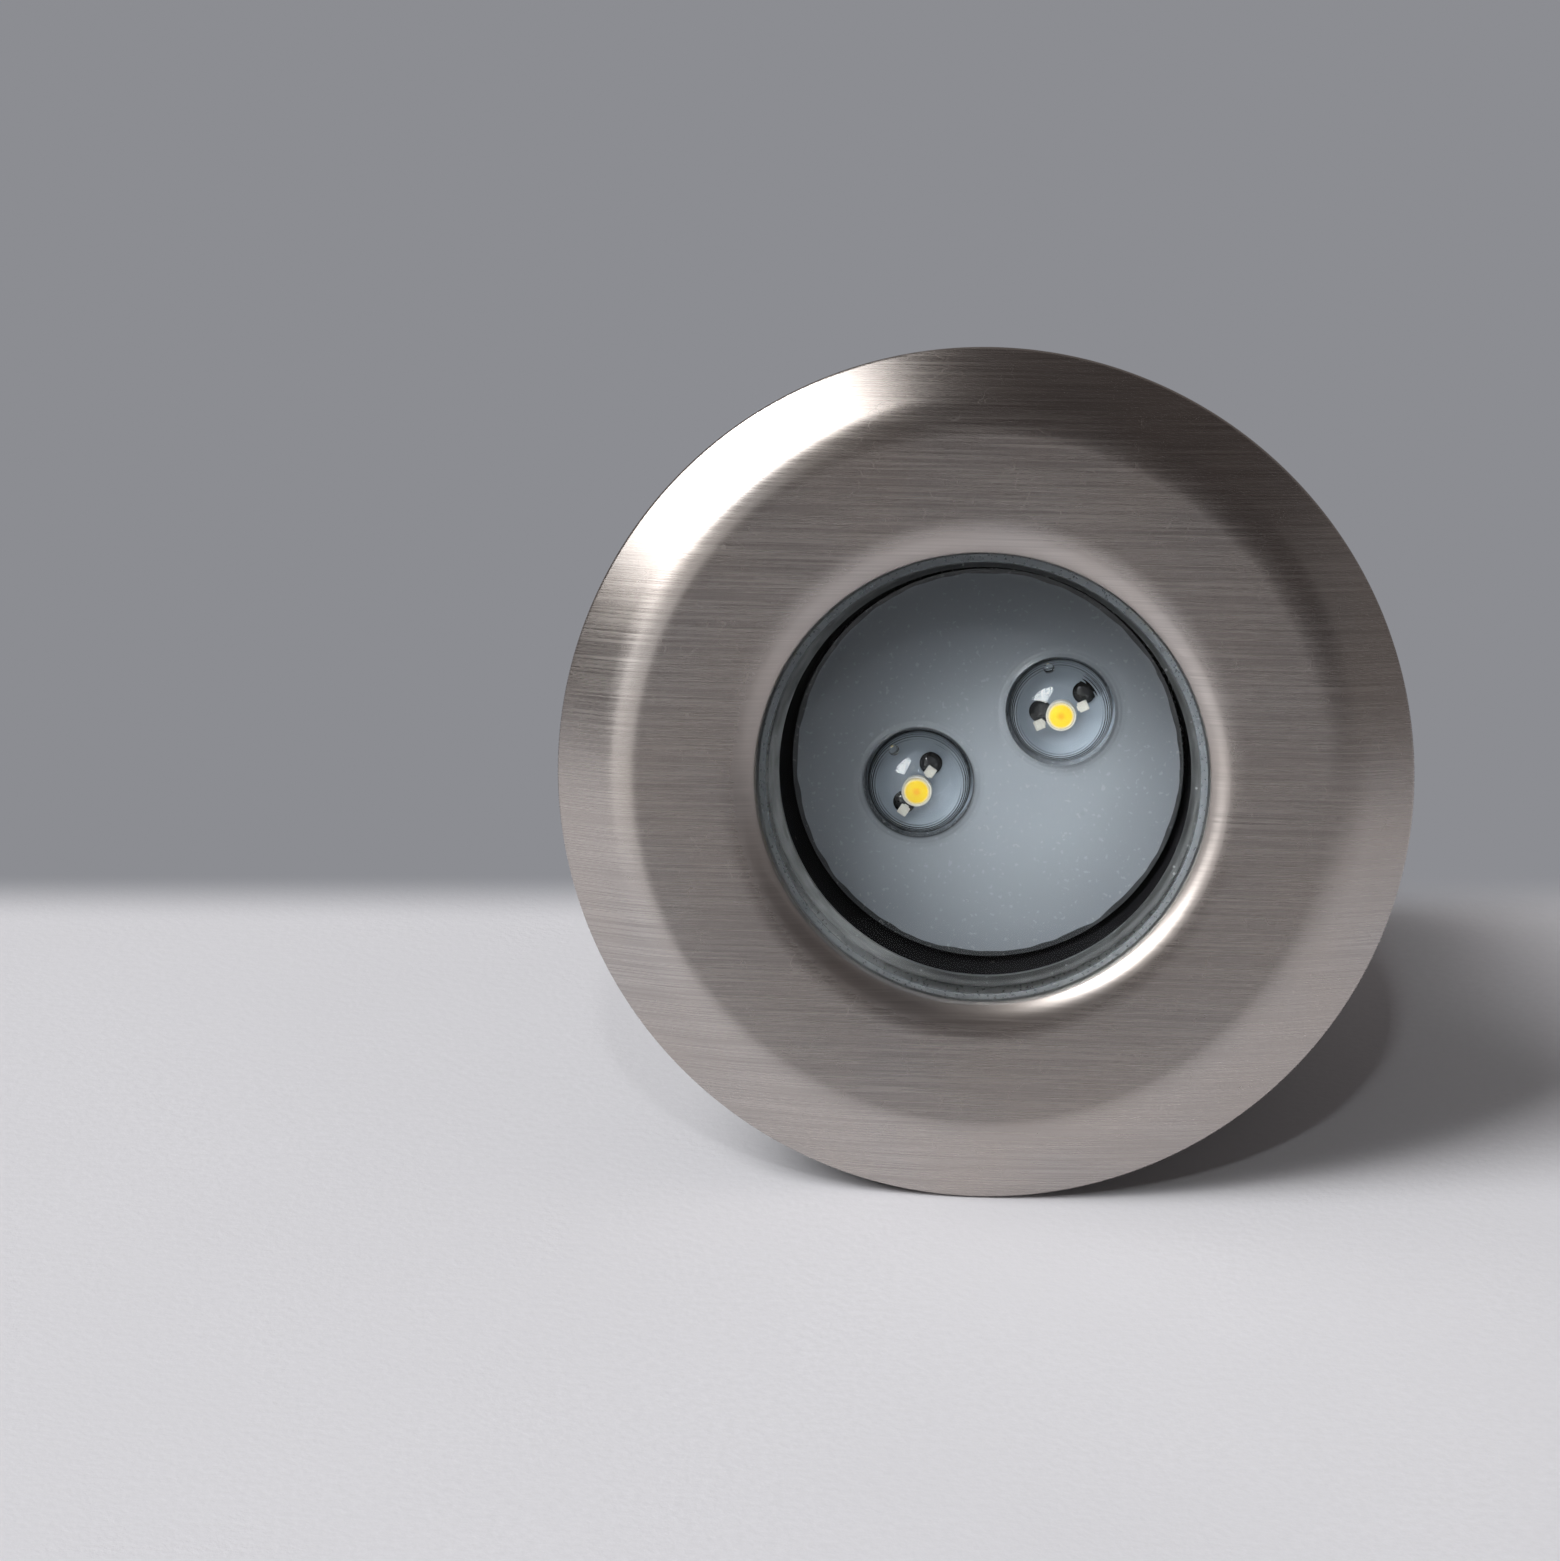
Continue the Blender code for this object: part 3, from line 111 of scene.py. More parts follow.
def length(name, text, default, high=0.2):
    return FloatProperty(
        name=name, description=text, default=default, min=0.0, max=high, subtype="DISTANCE", unit="LENGTH"
    )


def colour(name, text, default):
    return FloatVectorProperty(
        name=name, description=text, default=default, min=0.0, max=1.0, size=3, subtype="COLOR"
    )


def angle(name, text, degrees):
    return FloatProperty(
        name=name, description=text, default=math.radians(degrees), subtype="ANGLE", unit="ROTATION"
    )


def amount(name, text, default, high=500.0):
    return FloatProperty(name=name, description=text, default=default, min=0.0, max=high)


class SpotlightSizes(bpy.types.PropertyGroup):
    """Sizes of the lamp's pieces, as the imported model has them."""

    lip_radius: length("Lip Radius", "Inner radius of the bezel", 0.0264)
    slope_radius: length("Slope Radius", "Radius where the flat face meets the sloped border", 0.0426)
    rim_radius: length("Rim Radius", "Outer radius of the bezel", 0.04992)
    face_height: length("Face Height", "Height of the bezel's flat face above the ground", 0.0055)
    sheet: length("Sheet", "Thickness of the bezel's sheet", 0.0012)
    glass_top: length("Glass Top", "Height of the glass's front face", 0.0030)
    glass_radius: length("Glass Radius", "Radius of the glass's flange", 0.0305)
    well_radius: length("Well Radius", "Radius of the light well under the glass", 0.0241)
    well_end_radius: length("Well End Radius", "Radius of the light well at the LED board", 0.0232)
    housing_radius: length("Housing Radius", "Outer radius of the housing under its flange", 0.0345)
    housing_length: length("Housing Length", "Length of the housing behind the ground plane", 0.0680)
    rib_radius: length("Rib Radius", "Outer radius of the centring ribs", 0.0388)
    cap_radius: length("Cap Radius", "Outer radius of the clear lens caps", 0.0061)
    potting_top: length("Potting Depth", "Depth of the potting compound behind the ground plane", 0.0140)


class SpotlightFinishes(bpy.types.PropertyGroup):
    """Colours of the lamp's finishes."""

    steel: colour("Steel", "Brushed steel of the bezel", (0.492, 0.457, 0.437))
    nylon: colour("Black Nylon", "Moulded black nylon", (0.010, 0.010, 0.011))
    grey_nylon: colour("Grey Nylon", "Moulded grey nylon of the cable gland", (0.085, 0.087, 0.092))
    silicone: colour("Silicone", "Grey silicone of the gasket", (0.042, 0.045, 0.047))
    resin: colour("Resin", "Blue-grey potting compound", (0.258, 0.284, 0.315))
    ceramic: colour("Ceramic", "White ceramic of the LED bases", (0.80, 0.78, 0.72))
    phosphor: colour("Phosphor", "Yellow phosphor of the LEDs", (0.98, 0.66, 0.01))
    board: colour("Board", "Grey lacquer of the LED board", (0.36, 0.42, 0.49))


class SpotlightStage(bpy.types.PropertyGroup):
    """Floor, backdrop, lamps and camera. Powers are in watts, picture places in the photograph's pixels."""

    floor: colour("Floor", "Pale table", (0.74, 0.74, 0.775))
    backdrop: colour("Backdrop", "Grey behind the table", (0.262, 0.266, 0.287))
    table_row: amount("Table Edge", "Row of the table's back edge", 898.0, 1561.0)
    camera_distance: length("Camera Distance", "From the rim's centre to the camera", 0.5835, 3.0)
    camera_rise: angle("Camera Rise", "Angle of the camera above the face's normal", 7.6)
    camera_side: angle("Camera Side", "Angle of the camera to the right of the face's normal", 2.31)
    focal_pixels: amount("Focal Length", "Focal length in pixels", 5005.0, 9000.0)
    face_across: amount("Face Across", "Column of the rim's centre", 983.0, 1560.0)
    face_down: amount("Face Down", "Row of the rim's centre", 776.8, 1561.0)
    key_power: amount("Key Power", "Power of the upper left lamp that the steel mirrors", 20.0)
    far_power: amount("Far Power", "Power of the large far lamp that lights the table", 280.0, 900.0)
    fill_power: amount("Fill Power", "Power of the broad soft lamp at the left", 1.9)
    strip_power: amount("Strip Power", "Power of the narrow lamp that the clear caps mirror", 15.0)
    small_power: amount("Small Power", "Power of the small lamp high in front", 3.6)
    world_level: amount("World Level", "Brightness of the grey room", 1.0, 5.0)


def sizes():
    return bpy.context.scene.spotlight_sizes


def finishes():
    return bpy.context.scene.spotlight_finishes


def stage_values():
    return bpy.context.scene.spotlight_stage


# Surfaces


def turns(count, start=0.0):
    """Even angles of a full turn."""
    return start + np.arange(count) * 2 * math.pi / count


def pointing(turn):
    """Unit steps across and along at each angle: (cos t, sin t)."""
    return np.stack((np.cos(turn), np.sin(turn)), axis=-1)


def places_round(count, radius, start=0.0):
    """Places at even angles on a circle about the lamp's axis."""
    return radius * pointing(turns(count, start))


def spun(points, turn):
    """Turns points about the lamp's axis: x' = x cos t - y sin t, y' = x sin t + y cos t."""
    cosine, sine = math.cos(turn), math.sin(turn)
    return points @ np.array(((cosine, sine, 0), (-sine, cosine, 0), (0, 0, 1)))


def rounded(corners, facet_turn=math.radians(7)):
    """Outline through corners of (radius, height) or (radius, height, fillet).

    A fillet's arc touches both sides of its corner: its centre lies fillet / sin(half the corner's
    angle) along the middle line, and its points turn evenly from one side to the other.
    """
    places = [np.array(corner[:2], float) for corner in corners]
    runs = []
    for index, corner in enumerate(corners):
        here = places[index]
        if len(corner) == 2:
            runs.append(here[None])
            continue
        before = places[index - 1] - here
        after = places[(index + 1) % len(corners)] - here
        before = before / np.linalg.norm(before)
        after = after / np.linalg.norm(after)
        half = math.acos(float(before @ after)) / 2
        middle = (before + after) / np.linalg.norm(before + after)
        centre = here + middle * corner[2] / math.sin(half)
        start = here + before * corner[2] / math.tan(half) - centre
        end = here + after * corner[2] / math.tan(half) - centre
        turn = math.pi - 2 * half
        share = np.linspace(0, 1, max(2, round(turn / facet_turn)) + 1)[:, None]
        arm = start * np.sin((1 - share) * turn) + end * np.sin(share * turn)
        runs.append(centre + arm / math.sin(turn))
    return np.concatenate(runs)


def grid_faces(rows, columns, keep=slice(None)):
    """Quads of a grid that closes on itself both ways. keep says which rows carry faces to the next."""
    row = np.arange(rows)[keep][:, None]
    column = np.arange(columns)[None]
    here, below = row * columns, (row + 1) % rows * columns
    beside = (column + 1) % columns
    quads = (here + column, here + beside, below + beside, below + column)
    return np.stack(quads, axis=-1).reshape(-1, 4)


def lathe(profile, steps=RING_STEPS, centre=(0.0, 0.0), apothem=None, flat_rows=slice(None)):
    """A closed profile turned about an upright axis: point (i, j) is r_i at the angle t_j, at z_i.

    With an apothem the rows in flat_rows are cut back to six flats: r is the smaller of r_i and
    apothem / cos(t_j measured from the nearest flat's middle).
    """
    profile = np.asarray(profile, float)
    turn = turns(steps)
    radius = np.repeat(profile[:, :1], steps, axis=1)
    if apothem:
        sixth = math.pi / 3
        limit = apothem / np.cos((turn + sixth / 2) % sixth - sixth / 2)
        radius[flat_rows] = np.minimum(radius[flat_rows], limit)
    height = np.repeat(profile[:, 1:], steps, axis=1)
    across, along = radius * np.cos(turn) + centre[0], radius * np.sin(turn) + centre[1]
    points = np.stack((across, along, height), axis=-1)
    on_axis = profile[:, 0] < WELD
    return points.reshape(-1, 3), grid_faces(len(profile), steps, ~(on_axis & np.roll(on_axis, -1)))


def lathes(profile, places, steps=SMALL_STEPS):
    """The same turned surface at several places."""
    return [lathe(profile, steps, place) for place in places]


def plates(outline, thickness, start):
    """Four flat webs a quarter turn apart: the outline of (radius, height) at -and +thickness/2."""
    outline = np.asarray(outline, float)
    count = len(outline)
    side = np.stack((outline[:, 0], np.zeros(count), outline[:, 1]), axis=-1)
    push = np.array((0.0, thickness / 2, 0.0))
    points = np.concatenate((side - push, side + push))
    here = np.arange(count)
    follows = (here + 1) % count
    walls = np.stack((here, follows, follows + count, here + count), axis=-1)
    faces = walls.tolist() + [here.tolist(), (here[::-1] + count).tolist()]
    return [(spun(points, turn), faces) for turn in turns(4, start)]


def lofted_pad(path, profile):
    """A pad: point (i, j) is path_j times the scale of profile row i, at that row's height.

    A first or last row of scale 0 closes its end in a pole.
    """
    path = np.asarray(path, float)
    profile = np.asarray(profile, float)
    flat = profile[:, :1, None] * path[None]
    height = np.repeat(profile[:, 1:, None], len(path), axis=1)
    points = np.concatenate((flat, height), axis=-1).reshape(-1, 3)
    return points, grid_faces(len(profile), len(path), slice(len(profile) - 1))


def rounded_square(half, corner, steps=6):
    """A square path whose corners are quarter circles: corner centre + corner * (cos t, sin t)."""
    turn = np.linspace(0, math.pi / 2, steps)
    quarters = np.arange(4)[:, None] * math.pi / 2
    middle = np.repeat(quarters.ravel() + math.pi / 4, steps)
    arc = corner * pointing((turn[None] + quarters).ravel())
    return (half - corner) * math.sqrt(2) * pointing(middle) + arc


def joined(shells):
    """Several surfaces as one list of points and one list of faces."""
    points, faces, start = [], [], 0
    for shell_points, shell_faces in shells:
        points.append(shell_points)
        faces += [[corner + start for corner in face] for face in np.asarray(shell_faces, object).tolist()]
        start += len(shell_points)
    return np.concatenate(points), faces


def placed(name, data):
    """A new object of the scene."""
    item = bpy.data.objects.new(name, data)
    bpy.context.scene.collection.objects.link(item)
    return item


def smooth_over(mesh):
    """Smooth shading up to the sharp angle."""
    mesh.shade_smooth()
    mesh.set_sharp_from_angle(angle=SHARP_ANGLE)


def make_mesh(name, points, faces, outwards=True):
    """A mesh in the world, with doubles merged at the poles and its closed surfaces facing outwards."""
    mesh = bpy.data.meshes.new(name)
    mesh.from_pydata(points, [], faces)
    work = bmesh.new()
    work.from_mesh(mesh)
    bmesh.ops.remove_doubles(work, verts=work.verts, dist=WELD)
    if outwards:
        bmesh.ops.recalc_face_normals(work, faces=work.faces)
    work.to_mesh(mesh)
    work.free()
    return mesh


def make_item(name, shells):
    """An object of closed surfaces that stand on the lamp's axes."""
    points, faces = joined(shells)
    mesh = make_mesh(name, stand_up(points), faces)
    smooth_over(mesh)
    return placed(name, mesh)


def make_piece(name, shells, finish, *replaced):
    """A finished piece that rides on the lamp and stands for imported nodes."""
    item = make_item(name, shells)
    item.data.materials.append(material(finish))
    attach(item, BODY)
    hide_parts(*replaced)
    return item


def drilled(item, shells):
    """Cuts surfaces out of a piece, which may cross itself, and keeps the result as its mesh."""
    helper = make_item("drill", shells)
    modifier = item.modifiers.new("holes", "BOOLEAN")
    modifier.operation = "DIFFERENCE"
    modifier.solver = "EXACT"
    modifier.use_self = True
    modifier.object = helper
    graph = bpy.context.evaluated_depsgraph_get()
    cut = bpy.data.meshes.new_from_object(item.evaluated_get(graph))
    item.modifiers.clear()
    item.data = cut
    smooth_over(cut)
    bpy.data.objects.remove(helper, do_unlink=True)


def write_attribute(item, name, values):
    """Keeps a number for each point of a piece, for its material to read."""
    field = item.data.attributes.new(name, "FLOAT", "POINT")
    field.data.foreach_set("value", np.asarray(values, np.float32))


# Node building


class Nodes:
    """Adds nodes to a shader tree. The methods give an output socket, or all of a node's outputs."""

    def __init__(self, tree):
        self.tree = tree

    def feed(self, socket, value):
        """Links a socket, or sets its value."""
        if isinstance(value, bpy.types.NodeSocket):
            self.tree.links.new(value, socket)
        else:
            socket.default_value = (*value[:3], 1.0) if socket.type == "RGBA" else value

    def put(self, kind, inputs=None, **settings):
        """Adds a node, sets it, and links or sets its inputs."""
        node = self.tree.nodes.new("ShaderNode" + kind)
        for key, value in settings.items():
            setattr(node, key, value)
        for key, value in (inputs or {}).items():
            self.feed(node.inputs[key], value)
        return node.outputs

    def use(self, shared_group, **inputs):
        """Places a shared group with its own values."""
        named = {key.title(): value for key, value in inputs.items()}
        return self.put("Group", named, node_tree=shared_group())

    def maths(self, operation, first, second=0.0, clamp=False):
        return self.put("Math", {0: first, 1: second}, operation=operation, use_clamp=clamp)[0]

    def add(self, first, second):
        return self.maths("ADD", first, second)

    def times(self, first, second):
        return self.maths("MULTIPLY", first, second)

    def vectors(self, operation, first, second=(0.0, 0.0, 0.0)):
        """Vector arithmetic, with a vector and a number as outputs."""
        return self.put("VectorMath", {0: first, 1: second}, operation=operation)

    def ranged(self, value, low, high, to_low=0.0, to_high=1.0, smooth=False):
        kind = "SMOOTHSTEP" if smooth else "LINEAR"
        inputs = {"Value": value, "From Min": low, "From Max": high, "To Min": to_low, "To Max": to_high}
        return self.put("MapRange", inputs, interpolation_type=kind)[0]

    def blended(self, share, first, second):
        """A colour between two, by share."""
        return self.put("Mix", {0: share, 6: first, 7: second}, data_type="RGBA")[2]

    def towards(self, tone, other, mask, share=1.0):
        """A tone that goes a share of the way to another, where a mask is set."""
        return self.blended(mask if share == 1.0 else self.times(mask, share), tone, other)

    def place(self):
        """Object coordinates turned and moved into the lamp's axes."""
        spin = Matrix(AXES.tolist())
        moved = -(spin @ Vector(ORIGIN))
        inputs = {"Vector": self.put("TexCoord")["Object"], "Location": moved, "Rotation": spin.to_euler()}
        return self.put("Mapping", inputs, vector_type="POINT")[0]

    def from_axis(self):
        """Distance from the lamp's axis."""
        flat = self.vectors("MULTIPLY", self.place(), (1.0, 1.0, 0.0))[0]
        return self.vectors("LENGTH", flat)[1]

    def noise(self, where, scale, detail=3.0, roughness=0.5):
        inputs = {"Vector": where, "Scale": scale, "Detail": detail, "Roughness": roughness}
        return self.put("TexNoise", inputs)[0]

    def contrast(self, value, low=0.0, high=1.0):
        """The middle of a noise's range, spread from low to high."""
        return self.ranged(value, 0.3, 0.7, low, high)

    def cells(self, where, scale):
        return self.put("TexVoronoi", {"Vector": where, "Scale": scale, "Randomness": 1.0})

    def bump(self, height, distance):
        return self.put("Bump", {"Height": height, "Distance": distance, "Strength": 1.0})[0]


def shade(base, factor):
    return tuple(min(1.0, channel * factor) for channel in base)


class Finish(Nodes):
    """A procedural material in the making."""

    def __init__(self, name):
        self.made = bpy.data.materials.new(f"{name}_finish")
        self.made.use_nodes = True
        super().__init__(self.made.node_tree)
        self.shader = self.tree.nodes["Principled BSDF"]

    def spread(self, base, low, high, mask):
        """From one shade of a base colour to another, by a mask."""
        return self.blended(mask, shade(base, low), shade(base, high))

    def wire(self, **inputs):
        """Links or sets the inputs of the Principled shader, and gives the material."""
        for key, value in inputs.items():
            self.feed(self.shader.inputs[key.replace("_", " ").title().replace("Ior", "IOR")], value)
        return self.made


def shared(name, **inputs):
    """Turns a function that fills a node group into one that gives the group, built once."""

    def keep(fill):
        def build():
            tree = bpy.data.node_groups.get(name)
            if tree:
                return tree
            tree = bpy.data.node_groups.new(name, "ShaderNodeTree")
            kind = "NodeSocketFloat"
            for key, value in inputs.items():
                socket = tree.interface.new_socket(key.title(), in_out="INPUT", socket_type=kind)
                socket.default_value = value
            given = tree.nodes.new("NodeGroupInput").outputs
            found = fill(Nodes(tree), given)
            for label in found:
                tree.interface.new_socket(label, in_out="OUTPUT", socket_type=kind)
            kept = tree.nodes.new("NodeGroupOutput")
            for label, value in found.items():
                tree.links.new(value, kept.inputs[label])
            return tree

        return build

    return keep


@shared("brushed_lines", along=60.0, across=6000.0)
def brushed_lines(nodes, given):
    """Fine lines along x: noise squeezed across the lines, and broad bands. The lip's wall has none."""
    where = nodes.place()
    fine = nodes.put("CombineXYZ", {"X": given["Along"], "Y": given["Across"], "Z": given["Along"]})[0]
    lines = nodes.noise(nodes.vectors("MULTIPLY", where, fine)[0], 1.0, 2.0)
    bands = nodes.noise(nodes.vectors("MULTIPLY", where, (18.0, 900.0, 18.0))[0], 1.0)
    cloud = nodes.noise(where, 70.0, 2.0)
    open_face = nodes.ranged(nodes.from_axis(), 0.0265, 0.0273)
    lines = nodes.blended(open_face, (0.5, 0.5, 0.5), lines)
    return {"Lines": nodes.contrast(lines), "Bands": nodes.contrast(bands), "Cloud": nodes.contrast(cloud)}


@shared("moulded_grain", scale=3500.0)
def moulded_grain(nodes, given):
    """The fine leathery grain of a mould, with a broad mottling."""
    where = nodes.place()
    cells = nodes.cells(where, given["Scale"])[0]
    soft = nodes.noise(where, given["Scale"])
    height = nodes.add(nodes.times(cells, 0.6), nodes.times(soft, 0.6))
    return {"Height": height, "Mottle": nodes.contrast(nodes.noise(where, 90.0))}


@shared("dust_specks", scale=900.0, share=0.08)
def dust(nodes, given):
    """Sparse specks of dust: small cells picked by their own random value."""
    cells = nodes.cells(nodes.place(), given["Scale"])
    picked = nodes.maths("LESS_THAN", nodes.put("SeparateColor", {0: cells[1]})[0], given["Share"])
    near = nodes.ranged(cells[0], 0.10, 0.28, 1.0, 0.0, smooth=True)
    return {"Specks": nodes.times(picked, near)}


@shared("scuffs", scale=420.0)
def scuffs(nodes, given):
    """Thin random scratches: the zero line of a slow noise, broken up by another."""
    where = nodes.place()
    slow = nodes.noise(where, given["Scale"], 1.0)
    line = nodes.ranged(nodes.maths("ABSOLUTE", nodes.maths("SUBTRACT", slow, 0.5)), 0.0, 0.006, 1.0, 0.0)
    gate = nodes.ranged(nodes.noise(where, 260.0, 1.0), 0.55, 0.62)
    return {"Scratches": nodes.times(line, gate)}


@shared("turned_lines", scale=5000.0, drift=0.6)
def turned_lines(nodes, given):
    """Rings about the lamp's axis: noise read along the radius, that drifts round the axis."""
    split = nodes.put("SeparateXYZ", {0: nodes.place()})
    square = nodes.add(nodes.maths("POWER", split[0], 2.0), nodes.maths("POWER", split[1], 2.0))
    radius = nodes.maths("SQRT", square)
    depth = nodes.times(nodes.add(radius, split[2]), given["Scale"])
    round_x = nodes.times(nodes.maths("DIVIDE", split[0], radius), given["Drift"])
    round_y = nodes.times(nodes.maths("DIVIDE", split[1], radius), given["Drift"])
    along = nodes.put("CombineXYZ", {0: round_x, 1: round_y, 2: depth})[0]
    return {"Rings": nodes.contrast(nodes.noise(along, 1.0, 2.0))}


# Finishes


def brushed_steel(name):
    """Steel brushed along x, a little warmer in clouds and duller on the rolled lip."""
    finish = Finish(name)
    base = finishes().steel
    lines = finish.use(brushed_lines)
    marks = finish.use(scuffs, scale=300.0)[0]
    warm = (base[0] * 1.03, base[1] * 0.98, base[2] * 0.93)
    tone = finish.spread(base, 0.82, 1.14, lines["Lines"])
    tone = finish.towards(tone, shade(base, 0.80), lines["Bands"], 0.3)
    tone = finish.towards(tone, warm, lines["Cloud"], 0.5)
    rough = finish.add(finish.ranged(lines["Lines"], 0, 1, 0.23, 0.30), finish.times(marks, 0.1))
    rough = finish.add(rough, finish.ranged(finish.from_axis(), 0.0272, 0.0294, 0.12, 0.0))
    height = finish.add(lines["Lines"], finish.times(lines["Bands"], 0.3))
    grain = finish.put("CombineXYZ", {1: float(UPWARD[1]), 2: float(UPWARD[2])})[0]
    finish.wire(base_color=tone, roughness=rough, metallic=1.0, anisotropic=0.6)
    return finish.wire(normal=finish.bump(height, 0.0000022), tangent=grain)


def machined(name, base, rough=0.3, scale=5000.0, metallic=1.0):
    """Turned or plated metal with fine rings and a few scratches."""
    finish = Finish(name)
    rings = finish.use(turned_lines, scale=scale)[0]
    marks = finish.use(scuffs)[0]
    cloud = finish.use(moulded_grain, scale=1500.0)["Mottle"]
    tone = finish.spread(base, 0.86, 1.08, rings)
    tone = finish.towards(tone, shade(base, 0.8), cloud, 0.4)
    uneven = finish.add(finish.ranged(cloud, 0, 1, rough - 0.05, rough + 0.1), finish.times(marks, 0.15))
    bumps = finish.bump(rings, 0.000003)
    return finish.wire(base_color=tone, roughness=uneven, metallic=metallic, normal=bumps)


def moulded(name, base, rough=0.45, scale=3500.0, depth=0.00002, dusty=0.05, coat=0.0, ior=1.5):
    """Moulded plastic or rubber with its mould's grain, dust and light scuffs."""
    finish = Finish(name)
    height, mottle = finish.use(moulded_grain, scale=scale)
    specks = finish.use(dust, share=dusty)[0]
    marks = finish.use(scuffs)[0]
    tone = finish.spread(base, 0.85, 1.18, mottle)
    tone = finish.towards(tone, (0.30, 0.29, 0.27), specks, 0.25)
    tone = finish.towards(tone, shade(base, 2.2), marks, 0.25)
    uneven = finish.add(finish.ranged(mottle, 0, 1, rough - 0.06, rough + 0.08), finish.times(specks, 0.2))
    bumps = finish.bump(height, depth)
    return finish.wire(base_color=tone, roughness=uneven, coat_weight=coat, ior=ior, normal=bumps)


def ringed_silicone(name):
    """Grey silicone with streaks round the ring and dust, and painted light and shade: a pale painted sheen
    at the left and painted shade over the lowest part.
    """
    finish = Finish(name)
    base = finishes().silicone
    rings = finish.use(turned_lines, scale=1500.0, drift=7.0)[0]
    mottle = finish.use(moulded_grain, scale=2600.0)["Mottle"]
    specks = finish.use(dust, scale=1300.0, share=0.12)[0]
    leftwards = finish.vectors("DOT_PRODUCT", finish.place(), (-0.99, -0.12, 0.0))[1]
    painted_sheen = finish.ranged(leftwards, 0.006, 0.022, smooth=True)
    height = finish.put("SeparateXYZ", {0: finish.place()})[1]
    tone = finish.spread(base, 0.55, 1.45, rings)
    tone = finish.towards(tone, shade(base, 0.7), mottle, 0.5)
    tone = finish.towards(tone, (0.34, 0.36, 0.36), specks, 0.6)
    # Painted sheen: the ring's left side is painted paler, in place of the light it reflects there
    tone = finish.towards(tone, (0.24, 0.25, 0.255), painted_sheen, finish.ranged(rings, 0, 1, 0.5, 1.0))
    # Painted shade: the lowest part of the ring is painted darker
    tone = finish.towards(tone, shade(base, 0.25), finish.ranged(height, -0.0255, -0.0205, 0.85, 0.0))
    uneven = finish.ranged(mottle, 0, 1, 0.42, 0.6)
    return finish.wire(base_color=tone, roughness=uneven, normal=finish.bump(rings, 0.00001))


def woven_board(name, base):
    """Lacquered laminate: the glass cloth's crossed threads show faintly through the lacquer."""
    finish = Finish(name)
    thread = {"Vector": finish.place(), "Scale": 700.0, "Distortion": 0.6}
    warp, weft = (finish.put("TexWave", thread, bands_direction=way)[1] for way in "XY")
    cloth = finish.times(finish.add(warp, weft), 0.5)
    mottle = finish.use(moulded_grain, scale=2500.0)["Mottle"]
    tone = finish.spread(base, 0.88, 1.12, cloth)
    tone = finish.towards(tone, shade(base, 0.8), mottle, 0.5)
    uneven = finish.ranged(mottle, 0, 1, 0.35, 0.48)
    return finish.wire(base_color=tone, roughness=uneven, normal=finish.bump(cloth, 0.000006))


def clear(name, base, ior, speckled, wave, gloss, ground=1.0):
    """Clear glass or plastic, frosted beyond a radius. Shadow rays pass and light what lies behind."""
    finish = Finish(name)
    where = finish.place()
    specks = finish.use(dust, scale=700.0, share=speckled)[0]
    frost = finish.ranged(finish.from_axis(), ground, ground + 0.0001)
    grit = finish.contrast(finish.noise(where, 2200.0), 0.22, 0.5)
    uneven = finish.add(finish.times(specks, 0.25), finish.times(frost, grit))
    tone = finish.blended(specks, base, shade(base, 0.9))
    tone = finish.towards(tone, shade(base, 0.75), frost)
    solid = finish.maths("SUBTRACT", 1.0, finish.put("LightPath")["Is Shadow Ray"])
    ripple = finish.bump(finish.noise(where, 160.0, 1.0), wave)
    finish.wire(base_color=tone, roughness=uneven, ior=ior, transmission_weight=1.0)
    return finish.wire(alpha=solid, normal=ripple, specular_tint=(gloss, gloss, gloss))


def potting_resin(name):
    """Cast resin with a satin skin, ripples and swirls, and painted light and shade: a paler painted pool of
    light near the middle that darkens towards the rim, painted shade round each cap, and a near-black
    painted reflection of the black wall at its rim.
    """
    finish = Finish(name)
    base = finishes().resin
    where = finish.place()
    swirl = finish.noise(where, 55.0, 2.0)
    fine = finish.noise(where, 1800.0, 2.0)
    specks = finish.use(dust, scale=800.0, share=0.03)[0]
    outwards = finish.vectors("DISTANCE", where, (0.003, -0.003, -0.014))[1]
    cap_shade = finish.put("Attribute", attribute_name="cap_shade_share")["Fac"]
    ragged = finish.add(finish.from_axis(), finish.contrast(finish.noise(where, 260.0, 1.0), 0.0, 0.0003))
    tone = finish.spread(base, 0.93, 1.06, finish.contrast(swirl))
    # Painted light: a pale pool about a point near the middle, painted darker with distance from it
    tone = finish.towards(tone, shade(base, 0.52), finish.ranged(outwards, 0.002, 0.024, smooth=True))
    tone = finish.towards(tone, shade(base, 0.7), specks, 0.3)
    # Painted shade: a dark band on the resin round each cap
    tone = finish.towards(tone, shade(base, 0.18), finish.ranged(cap_shade, 0.55, 0.95, smooth=True))
    # Painted reflection: the outermost rim is painted near black, like the black wall mirrored in it
    tone = finish.towards(tone, shade(base, 0.06), finish.ranged(ragged, 0.02248, 0.02256))
    height = finish.add(swirl, finish.times(fine, 0.004))
    rough = finish.contrast(fine, 0.22, 0.28)
    return finish.wire(base_color=tone, roughness=rough, normal=finish.bump(height, 0.00012))


